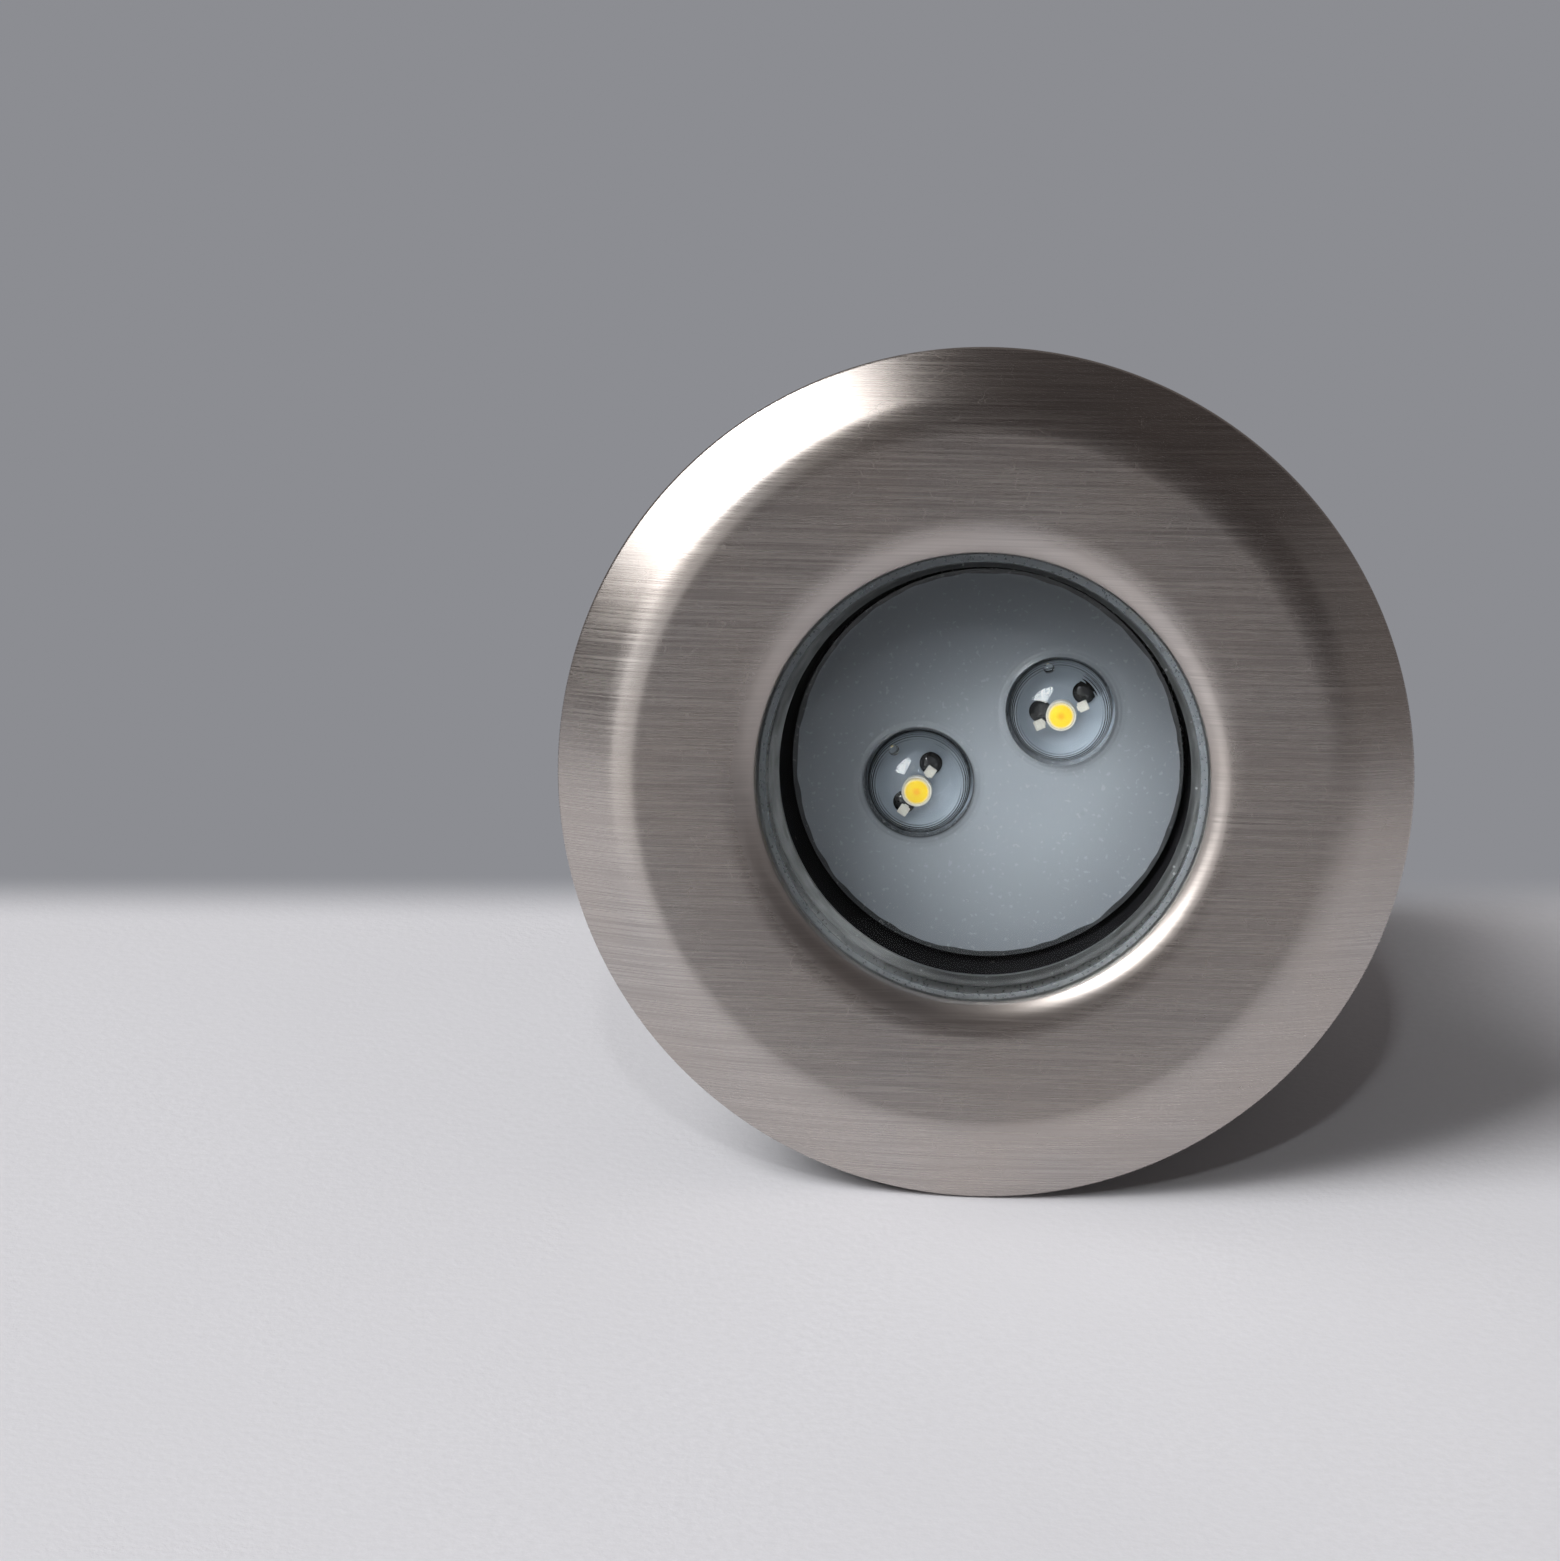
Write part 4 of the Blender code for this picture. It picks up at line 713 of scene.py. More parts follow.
def led_phosphor(name):
    """Phosphor gel: orange in the middle, yellow round it, and a pale rim, by the piece's own share_out,
    with a painted glow of its own colour in place of its fluorescence under the room's light.
    """
    finish = Finish(name)
    base = finishes().phosphor
    out = finish.put("Attribute", attribute_name="share_out")["Fac"]
    height, mottle = finish.use(moulded_grain, scale=9000.0)
    wobble = finish.add(out, finish.times(finish.maths("SUBTRACT", height, 0.6), 0.12))
    yellow = finish.ranged(wobble, 0.05, 0.45, smooth=True)
    tone = finish.blended(yellow, (base[0], base[1] * 0.70, 0.005), base)
    tone = finish.towards(tone, (0.83, 0.72, 0.42), finish.ranged(wobble, 0.80, 0.97, smooth=True))
    rough = finish.ranged(mottle, 0, 1, 0.35, 0.5)
    finish.wire(base_color=tone, roughness=rough, normal=finish.bump(height, 0.000006))
    # Painted glow: the phosphor emits a little of its own colour, though it is no lamp
    return finish.wire(emission_color=tone, emission_strength=0.22)


def material(name):
    """The finish of a given name, made when it is first asked for."""
    paint = finishes()
    makers = {
        "brushed_steel": (brushed_steel,),
        "black_nylon": (moulded, paint.nylon, 0.36, 3200.0, 0.000012),
        "grey_nylon": (moulded, paint.grey_nylon, 0.42, 3600.0, 0.000015),
        "plated_screw": (machined, (0.62, 0.61, 0.58)),
        "clear_glass": (clear, (0.97, 0.985, 0.98), 1.5, 0.02, 0.0000005, 0.1, 0.0253),
        "grey_silicone": (ringed_silicone,),
        "bush_black": (moulded, (0.012, 0.012, 0.012), 0.14, 2800.0, 0.000004, 0.03, 1.0),
        "matt_black": (moulded, shade(paint.nylon, 0.5), 0.8, 3200.0, 0.000008, 0.02, 0.0, 1.03),
        "black_rubber": (moulded, (0.018, 0.018, 0.019), 0.55, 2800.0, 0.00001, 0.12),
        "potting_resin": (potting_resin,),
        "clear_plastic": (clear, (0.97, 0.98, 0.985), 1.4, 0.01, 0.0000001, 0.8),
        "led_ceramic": (moulded, paint.ceramic, 0.35, 6000.0, 0.000004, 0.02),
        "led_phosphor": (led_phosphor,),
        "tinned_lead": (machined, (0.86, 0.84, 0.76), 0.45, 3000.0, 0.35),
        "aluminium": (machined, (0.60, 0.61, 0.62), 0.38, 2500.0),
        "board_lacquer": (moulded, paint.board, 0.35, 5000.0, 0.000003, 0.02),
        "red_wire": (moulded, (0.42, 0.03, 0.02), 0.4, 4000.0, 0.000004, 0.03),
        "black_wire": (moulded, (0.02, 0.02, 0.02), 0.4, 4000.0, 0.000004, 0.03),
        "green_board": (woven_board, (0.03, 0.14, 0.07)),
        "capacitor_sleeve": (moulded, (0.03, 0.04, 0.09), 0.28, 2200.0, 0.000006, 0.03, 0.3),
        "ferrite": (moulded, (0.05, 0.045, 0.04), 0.5, 5000.0, 0.00001),
        "chip_resin": (moulded, (0.02, 0.02, 0.02), 0.4, 6000.0, 0.000006),
        "white_nylon": (moulded, (0.70, 0.70, 0.67), 0.45, 3500.0, 0.000008),
    }
    maker, *values = makers[name]
    return bpy.data.materials.get(f"{name}_finish") or maker(name, *values)


# Pieces


class SPOTLIGHT_OT_bezel(bpy.types.Operator):
    """Make the pressed steel bezel with its rolled lip and sloped border"""

    bl_idname = "spotlight.bezel"
    bl_label = "Bezel"

    def execute(self, context):
        size = sizes()
        lip, top, rim, sheet = size.lip_radius, size.face_height, size.rim_radius, size.sheet
        edge, bend = 0.00095, 0.0095
        lip_round, shoulder_round, ease_round, under_round = 0.0006, 0.0039, 0.0138, 0.0033
        sink, fall = 0.00135, math.radians(40)
        ease, ease_run = math.radians(8), 0.0022
        dip = ease_run * math.tan(ease)
        shoulder = lip + (sink - dip) / math.tan(fall)
        below = lip + sink / math.tan(fall)
        sink_below = sink + sheet / math.cos(fall) - sheet * math.tan(fall)
        slope = math.atan2(top - edge, rim - size.slope_radius)
        inner_edge = edge + sheet * math.tan(slope) - sheet / math.cos(slope)
        meet = rim - (top - sheet - edge + sheet / math.cos(slope)) / math.tan(slope)
        inside, under, lip_back = rim - sheet, top - sheet, lip + sheet
        face = [(lip, LIP_END), (lip, top - sink, lip_round), (shoulder, top - dip, shoulder_round)]
        face += [(shoulder + ease_run, top, ease_round), (size.slope_radius, top, bend), (rim, edge, 0.0005)]
        back = [(rim, 0.0, BROKEN_EDGE), (inside, 0.0, BROKEN_EDGE), (inside, inner_edge, SMALL_ROUND)]
        back += [(meet, under, bend - sheet * 2), (below + sheet * math.tan(fall / 2), under, under_round)]
        back += [(lip_back, top - sink_below, FINE_ROUND), (lip_back, LIP_END)]
        profile = rounded(face + back, math.radians(2.5))
        make_piece("bezel_steel", [lathe(profile, BEZEL_STEPS)], "brushed_steel", "bezel")
        return {"FINISHED"}


class SPOTLIGHT_OT_glass(bpy.types.Operator):
    """Make the thick glass with its ground chamfers, and the gasket with its sealing beads"""

    bl_idname = "spotlight.glass"
    bl_label = "Glass and Gasket"

    def execute(self, context):
        size = sizes()
        top, out = size.glass_top, size.glass_radius
        bottom, step = top - 0.0080, top - 0.0012
        face, chamfer, crisp = size.lip_radius - FIT, 0.0008, 0.00015
        corners = [(0.0, top), (face - chamfer, top, crisp), (face, top - chamfer, crisp), (face, step)]
        corners += [(out, step, FINE_ROUND), (out, bottom + chamfer, FINE_ROUND)]
        corners += [(out - chamfer, bottom, FINE_ROUND), (0.0, bottom)]
        make_piece("glass_clear", [lathe(rounded(corners))], "clear_glass", "glass")
        self.make_gasket(size.well_radius, out + FIT, bottom - FIT, step - 0.0006)
        return {"FINISHED"}

    def make_gasket(self, hole, wall, seat, top):
        """A seat whose sealing beads rise by a cosine of the radius, and a thin collar round the glass."""
        base, collar, rise, pitch = seat - 0.0015, wall + 0.0014, 0.00005, 0.0011
        radius = np.linspace(hole, wall - 0.0004, 60)
        beads = seat - 0.00006 + rise * np.cos((radius - hole) * 2 * math.pi / pitch)
        outer = [(wall, seat), (wall, top), (collar, top), (collar, base), (hole, base)]
        profile = np.concatenate((np.stack((radius, beads), axis=-1), outer))
        make_piece("gasket_silicone", [lathe(profile)], "grey_silicone", "glass_gasket")


class SPOTLIGHT_OT_well(bpy.types.Operator):
    """Make the black light well with its rim, its tapered tube, its ledge and its gussets"""

    bl_idname = "spotlight.well"
    bl_label = "Light Well"

    def execute(self, context):
        mouth, end = sizes().well_radius, sizes().well_end_radius
        top, seat, rim, wall = -0.0071, -0.0093, 0.0322, 0.0018
        ledge_top, ledge_bottom, ledge = -0.0214, -0.0234, end - 0.0028
        corners = [(mouth, top, SMALL_ROUND), (rim, top, FINE_ROUND), (rim, seat, FINE_ROUND)]
        corners += [(mouth + wall, seat, SOFT_ROUND), (end + wall, ledge_bottom, 0.0006)]
        corners += [(ledge, ledge_bottom, FINE_ROUND), (ledge, ledge_top, FINE_ROUND)]
        corners += [(end, ledge_top, SMALL_ROUND)]
        inner, outer = end + wall - BITE, 0.0308
        gusset = [(inner, seat + BITE), (outer, seat + BITE), (outer, seat - 0.0004), (inner, seat - 0.0090)]
        shells = [lathe(rounded(corners, math.radians(15))), *plates(gusset, WEB, 0.0)]
        make_piece("well_nylon", shells, "matt_black", "light_well")
        return {"FINISHED"}


def rib_section(tall=0.0043):
    """Across and rise of one rib, with a fillet at each foot and a small round at each top edge."""
    foot, top, foot_round = 0.00132, 0.00120, 0.0005
    corners = [(-0.0030, 0.0), (-foot, 0.0, foot_round), (-top, tall, SMALL_ROUND)]
    corners += [(top, tall, SMALL_ROUND), (foot, 0.0, foot_round), (0.0030, 0.0)]
    outline = rounded(corners, math.radians(22))
    return outline[:, 0], outline[:, 1] / tall


def ribbed_shell(rows, rib_height, count, phase):
    """The barrel with its ribs as one grid of rows (radius, height, rib share).

    Column t beside rib k lies at e_k * (sqrt(r^2 - t^2) + rib height * rise(t) * share) + n_k * t, where
    e_k points along the rib and n_k across it. Between two ribs the columns follow the circle.
    """
    across, rise = rib_section()
    radius, height, share = rows[:, 0:1], rows[:, 1:2], rows[:, 2:3]
    edge = np.arcsin(across[-1] / radius)
    between = edge + (2 * math.pi / count - 2 * edge) * np.linspace(0, 1, 14)[1:-1]
    rib = np.sqrt(radius**2 - across**2) + rib_height * rise * share
    along = np.concatenate((rib, radius * np.cos(between)), axis=1)
    side = np.concatenate((np.repeat(across[None], len(rows), axis=0), radius * np.sin(between)), axis=1)
    lift = np.repeat(height, along.shape[1], axis=1)
    blocks = []
    for turn in turns(count, phase):
        cosine, sine = math.cos(turn), math.sin(turn)
        blocks.append(np.stack((along * cosine - side * sine, along * sine + side * cosine, lift), axis=-1))
    points = np.concatenate(blocks, axis=1)
    return points.reshape(-1, 3), grid_faces(*points.shape[:2])


class SPOTLIGHT_OT_housing(bpy.types.Operator):
    """Make the moulded housing with its flange, seal groove, ribs and bosses, and its sleeve O-ring"""

    bl_idname = "spotlight.housing"
    bl_label = "Housing"

    def execute(self, context):
        size = sizes()
        top, end = size.housing_radius, -size.housing_length
        rear = top - 0.0005
        bore, seal = rear - 0.0022, -0.0150
        rows = np.concatenate(self.barrel_rows(top, rear, bore, seal, end))
        shells = [ribbed_shell(rows, size.rib_radius - top, 8, SCREW_PHASE)]
        carrier_places = places_round(4, CARRIER_SCREW_CIRCLE, SCREW_PHASE)
        boss = [(0.0, 0.0009), (0.0028, 0.0009), (0.0028, -0.0110, 0.0008), (0.0, -0.0110)]
        shells += lathes(rounded(boss, math.radians(15)), carrier_places)
        boss_top, boss_floor, hole, boss_radius = -0.0490, end + 0.0118, 0.0018, 0.0032
        boss = [(hole, end), (boss_radius, end), (boss_radius, boss_top)]
        boss += [(0.0, boss_top), (0.0, boss_floor), (hole, boss_floor)]
        shells += lathes(boss, places_round(4, COVER_SCREW_CIRCLE, math.pi / 4))
        web_in, web_out, rear_web, web_top = 0.0282, bore + BITE, end + 0.0054, boss_top - 0.0006
        web = [(web_in, rear_web), (web_out, rear_web), (web_out, web_top), (web_in, web_top)]
        shells += plates(web, WEB, math.pi / 4)
        housing = make_piece("housing_nylon", shells, "black_nylon", "housing")
        hole = [(0.0, 0.0050), (0.0027, 0.0050), (0.0027, 0.0041)]
        hole += [(0.0016, 0.0028), (0.0016, -0.0066), (0.0, -0.0066)]
        drilled(housing, lathes(hole, carrier_places, 32))
        section = 0.0013 * pointing(turns(24)) * (1, -1) + (0.0346, seal)
        make_piece("sleeve_seal", [lathe(section)], "black_rubber", "sleeve_o_ring")
        return {"FINISHED"}

    def barrel_rows(self, top, rear, bore, seal, end):
        """Rows of (radius, height, rib share): the flange and groove, the tapered barrel, and the bore.

        The rib share rises evenly with the depth along the rib's lead, and falls a little at the rear end.
        """
        pocket, step, flange, thick = 0.0325, -0.0096, 0.0450, 0.0018
        groove, half, rib_top, lead = top - 0.0015, 0.0016, -0.0190, 0.0030
        corners = [(pocket, thick, FINE_ROUND), (flange, thick, SMALL_ROUND), (flange, 0.0, SMALL_ROUND)]
        corners += [(top, 0.0, 0.0012), (top, seal + half, FINE_ROUND), (groove, seal + half, SMALL_ROUND)]
        corners += [(groove, seal - half, SMALL_ROUND), (top, seal - half, FINE_ROUND)]
        corners += [(top - 0.00005, seal - half - 0.001)]
        front = rounded(corners, math.radians(18))
        heights = np.concatenate((
            [rib_top + 0.0006, rib_top + 0.0001],
            rib_top - lead * np.linspace(0.02, 0.96, 9),
            rib_top - lead * np.array((1.0, 1.05, 1.15)),
            np.linspace(rib_top - 2 * lead, end + 0.0008, 12),
            [end + 0.0003, end + 0.0001, end],
        ))
        share = np.clip((rib_top - heights) / lead, 0, 1)
        share[-3:] *= (0.995, 0.985, 0.965)
        barrel = top - (top - rear) * (seal - half - heights) / (seal - half - end)
        barrel[-1] -= BROKEN_EDGE
        inside = [(rear - 0.0002, end), (bore + 0.0002, end), (bore, end + 0.0002)]
        inside += [(bore, step), (pocket, step)]
        plain = [np.column_stack((run, np.zeros(len(run)))) for run in (front, inside)]
        return plain[0], np.column_stack((barrel, heights, share)), plain[1]


def nearest(points, centres):
    """Distance from each point to the nearest of the centres."""
    return np.linalg.norm(points[:, None] - centres[None], axis=-1).min(axis=1)


class SPOTLIGHT_OT_potting(bpy.types.Operator):
    """Make the cast compound, which climbs each lens cap and the well's wall"""

    bl_idname = "spotlight.potting"
    bl_label = "Potting Compound"

    def execute(self, context):
        size = sizes()
        edge, top, bore = size.well_end_radius - FIT, -size.potting_top, size.cap_radius + FIT
        centres = np.array([cad_centre("lens_cap_left"), cad_centre("lens_cap_right")])
        flat, faces = self.net(edge, bore, centres)
        wall = edge - np.linalg.norm(flat, axis=1)
        climbed = top + self.meniscus(nearest(flat, centres) - bore)
        upper = np.column_stack((flat, climbed + 0.0001 * np.clip(1 - wall / 0.0010, 0, 1) ** 2.4))
        lower = np.column_stack((flat, np.full(len(flat), top - 0.0052)))
        sides = np.sort(np.concatenate((faces[:, [0, 1]], faces[:, [1, 2]], faces[:, [2, 0]])), axis=1)
        pairs, count = np.unique(sides, axis=0, return_counts=True)
        border = pairs[count == 1]
        walls = np.column_stack((border, border[:, ::-1] + len(flat)))
        every = faces.tolist() + (faces[:, ::-1] + len(flat)).tolist() + walls.tolist()
        shells = [(np.concatenate((upper, lower)), every)]
        piece = make_piece("potting_cast", shells, "potting_resin", "potting_compound")
        # Painted shade round each cap: a share that fades out 0.6 mm from the cap's bore, weaker at the
        # right cap
        gap = np.linalg.norm(own_points(piece.data)[:, None, :2] - centres[None], axis=-1) - bore
        fade, strength = 0.0006, (1.0, 0.62)
        near = np.clip(1 - gap / fade, 0, 1) * strength
        write_attribute(piece, "cap_shade_share", near.max(axis=1))
        return {"FINISHED"}

    def net(self, edge, bore, centres):
        """A net of triangles with rings round each cap and along the rim, and open at the caps."""
        cap_band, rim_band, pitch, clearance = 0.0022, 0.0012, 0.0014, 0.0006
        rings = bore + cap_band * np.linspace(0, 1, 37)
        round_caps = centres[:, None, None] + rings[None, :, None, None] * pointing(turns(72))[None, None]
        rim_rings = edge - rim_band * np.linspace(0, 1, 7) ** 1.5
        round_rim = rim_rings[:, None, None] * pointing(turns(144))[None]
        line = np.arange(-edge, edge, pitch)
        field = np.stack(np.meshgrid(line, line), axis=-1).reshape(-1, 2)
        inner = np.linalg.norm(field, axis=1) < edge - (rim_band + clearance)
        field = field[(nearest(field, centres) > bore + cap_band + clearance) & inner]
        flat = np.concatenate((round_caps.reshape(-1, 2), round_rim.reshape(-1, 2), field))
        made = geometry.delaunay_2d_cdt([Vector(point) for point in flat], [], [], 0, 1e-9)
        flat, faces = np.array([tuple(point) for point in made[0]]), np.array(made[2])
        return flat, faces[nearest(flat[faces].mean(axis=1), centres) >= bore]

    def meniscus(self, away):
        """Rise of the compound at a distance from a cap's bore: a power of what is left, with ripples."""
        reach, rise, ripple, pitch = 0.0016, 0.0004, 0.00002, 0.0005
        left = np.clip(1 - away / reach, 0, 1)
        return rise * left**2.4 + ripple * np.sin(away * 2 * math.pi / pitch) * left


class SPOTLIGHT_OT_caps(bpy.types.Operator):
    """Make the two clear lens caps, each with the small nub that its mould's gate leaves"""

    bl_idname = "spotlight.caps"
    bl_label = "Lens Caps"

    def execute(self, context):
        spring, out, wall, nub = -0.0150, sizes().cap_radius, 0.00025, 0.00065
        reach, ball = out - 0.0002, pointing(np.linspace(math.pi / 2, -math.pi / 2, 13))
        turn = np.linspace(0, math.pi / 2, 73)
        ripple = 0.00003 * np.sin(turn * 70) * np.exp(-(((turn - 0.48) / 0.16) ** 2))
        outside = (out - 0.00003 + ripple)[:, None] * pointing(turn) + (0, spring)
        inside = (out - wall) * pointing(turn) + (0, spring)
        outside[-1, 0] = inside[-1, 0] = 0.0
        foot = [(out - 0.0002, POTTING_BASE), (out, POTTING_BASE + 0.0002)]
        profile = np.concatenate((foot, outside, inside[::-1], [(out - wall, POTTING_BASE)]))
        for side, heading, lift in (("left", 126, 34), ("right", 105, 26)):
            centre, lift = cad_centre(f"lens_cap_{side}"), math.radians(lift)
            place = centre + reach * math.cos(lift) * pointing(math.radians(heading))
            bead = nub * ball + (0, spring + reach * math.sin(lift))
            bead[[0, -1], 0] = 0.0
            shells = [lathe(profile, ROUND_STEPS, centre), lathe(bead, 24, place)]
            make_piece(f"cap_{side}", shells, "clear_plastic", f"lens_cap_{side}")
        return {"FINISHED"}


class SPOTLIGHT_OT_leds(bpy.types.Operator):
    """Make the LEDs: white bases, phosphor domes, tinned leads and the bushes beside them"""

    bl_idname = "spotlight.leds"
    bl_label = "LEDs"

    def execute(self, context):
        for side in ("left", "right"):
            centre = cad_centre(f"led_base_{side}")
            self.make_base(side, centre)
            for ending in ("upper", "lower"):
                self.make_lead(side, ending, centre)
                self.make_bush(side, ending)
        return {"FINISHED"}

    def make_base(self, side, centre):
        """A ceramic base with a raised rim, and a crown of gel that falls by the square of the radius."""
        dish, out, rim, floor, foot = 0.0016, 0.0018, -0.0168, -0.0175, -0.0184
        corners = [(0.0, floor), (dish, floor), (dish, rim, 0.00006)]
        corners += [(out, rim, 0.00008), (out, foot), (0.0, foot)]
        shells = lathes(rounded(corners, math.radians(15)), [centre])
        make_piece(f"led_{side}", shells, "led_ceramic", f"led_base_{side}")
        gel, gel_base = 0.00152, -0.0172
        radius = np.linspace(0, gel, 12)
        crown = np.stack((radius, -0.0165 - 0.00022 * (radius / gel) ** 2), axis=-1)
        shells = lathes(np.concatenate((crown, [(gel, gel_base), (0.0, gel_base)])), [centre])
        piece = make_piece(f"phosphor_gel_{side}", shells, "led_phosphor", f"phosphor_{side}")
        away = np.linalg.norm(own_points(piece.data)[:, :2] - centre, axis=1)
        write_attribute(piece, "share_out", away / gel)

    def make_lead(self, side, ending, centre):
        """A flat neck and a square tab with a sunk square in it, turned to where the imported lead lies."""
        node = f"lead_{side}_{ending}"
        aim = cad_points(node).mean(axis=0) - centre
        top = -0.0172
        low, sunk, edge = top - 0.0004, top - 0.00010, top - 0.00001
        rows = [(0.0, low), (0.9, low), (1.0, low + 0.0001), (1.0, top - 0.0001), (0.93, top)]
        tab = lofted_pad(rounded_square(0.0006, 0.00012), rows + [(0.52, top), (0.46, sunk), (0.0, sunk)])
        rows = [(0.0, low), (1.0, low), (1.0, top - 0.00005), (0.9, edge), (0.0, edge)]
        neck = lofted_pad(rounded_square(0.0003, 0.00008), rows)
        places = ((tab, (1.0, 1.0, 1.0), 0.00281), (neck, (0.5, 1.0, 1.0), 0.00222))
        shells = []
        for (points, faces), stretch, reach in places:
            moved = spun(points * stretch + (reach, 0, 0), math.atan2(aim[1], aim[0]))
            shells.append((moved + (*centre, 0), faces))
        make_piece(f"tab_{side}_{ending}", shells, "tinned_lead", node)

    def make_bush(self, side, ending):
        """A glossy domed bush: a foot ring, and a dome whose rise is the square root of 1 - (r / R)^2."""
        node = f"lead_bush_{side}_{ending}"
        radius, base, rise = 0.00135, POTTING_BASE, 0.0005
        dome = pointing(np.linspace(0, math.pi / 2, 13)) * (radius * 0.86, rise) + (0, base + 0.0002)
        dome[-1, 0] = 0.0
        foot = [(0.0, base), (radius, base), (radius, base + 0.00018), (radius * 0.93, base + 0.00026)]
        shells = lathes(np.concatenate((foot, dome)), [cad_centre(node)])
        make_piece(f"bush_{side}_{ending}", shells, "bush_black", node)


def screw_profile(head, shank, long, deep, socket, top):
    """A countersunk screw from its socket's floor round to its tip, with threads as a saw-tooth."""
    floor, ease, ridges = top - deep * 0.55, 0.00008, 10
    outline = [(0.0, floor), (socket, floor), (socket, top - ease), (socket + ease, top)]
    outline += [(head - 0.00012, top), (head, top - 0.00015), (shank, top - deep)]
    steps = np.linspace(top - deep - 0.0006, top - long + shank * 0.6, ridges * 2 + 1)
    wave = np.where(np.arange(len(steps)) % 2, shank, shank * 0.84)
    return np.concatenate((outline, np.stack((wave, steps), axis=-1), [(0.0, top - long)]))


class SPOTLIGHT_OT_cover(bpy.types.Operator):
    """Make the rear cover with its spigot and posts, and its four screws"""

    bl_idname = "spotlight.cover"
    bl_label = "Rear Cover"

    def execute(self, context):
        rim, top, bottom, hole = 0.0340, -0.0683, -0.0713, 0.0083
        spigot, bore, up = 0.0315, 0.0293, -0.0638
        seal, half, groove = -0.06605, 0.0010, 0.0300
        groove_top, groove_end = seal + half, seal - half
        corners = [(hole, top), (bore, top, SOFT_ROUND), (bore, up, FINE_ROUND), (spigot, up, SMALL_ROUND)]
        corners += [(spigot, groove_top), (groove, groove_top, FINE_ROUND), (groove, groove_end, FINE_ROUND)]
        corners += [(spigot, groove_end), (spigot, top), (rim, top, FINE_ROUND), (rim, bottom, 0.0012)]
        corners += [(0.0150, bottom, FINE_ROUND), (0.0146, bottom + 0.0003, FINE_ROUND)]
        corners += [(0.0142, bottom, FINE_ROUND), (hole, bottom)]
        post_top, post_floor, pilot = -0.0480, -0.0539, 0.0014
        post = [(pilot, post_top), (0.0024, post_top), (0.0026, top - BITE), (0.0, top - BITE)]
        post += [(0.0, post_floor), (pilot, post_floor)]
        shells = [lathe(rounded(corners, math.radians(12)))]
        shells += lathes(post, places_round(3, 0.0202, -math.pi / 2))
        cover = make_piece("cover_nylon", shells, "black_nylon", "rear_cover")
        places = places_round(4, COVER_SCREW_CIRCLE, math.pi / 4)
        sink = [(0.0, bottom - 0.001), (0.0030, bottom - 0.001), (0.0030, bottom)]
        sink += [(0.0018, bottom + 0.0015), (0.0018, top + 0.001), (0.0, top + 0.001)]
        drilled(cover, lathes(sink, places))
        outline = screw_profile(0.0027, 0.0015, 0.0140, 0.0015, 0.0012, -bottom) * (1, -1)
        for index, place in enumerate(places):
            screw = lathe(outline, SMALL_STEPS, place, 0.00104, slice(4))
            make_piece(f"screw_rear_{index + 1}", [screw], "plated_screw", f"cover_screw_{index + 1}")
        return {"FINISHED"}


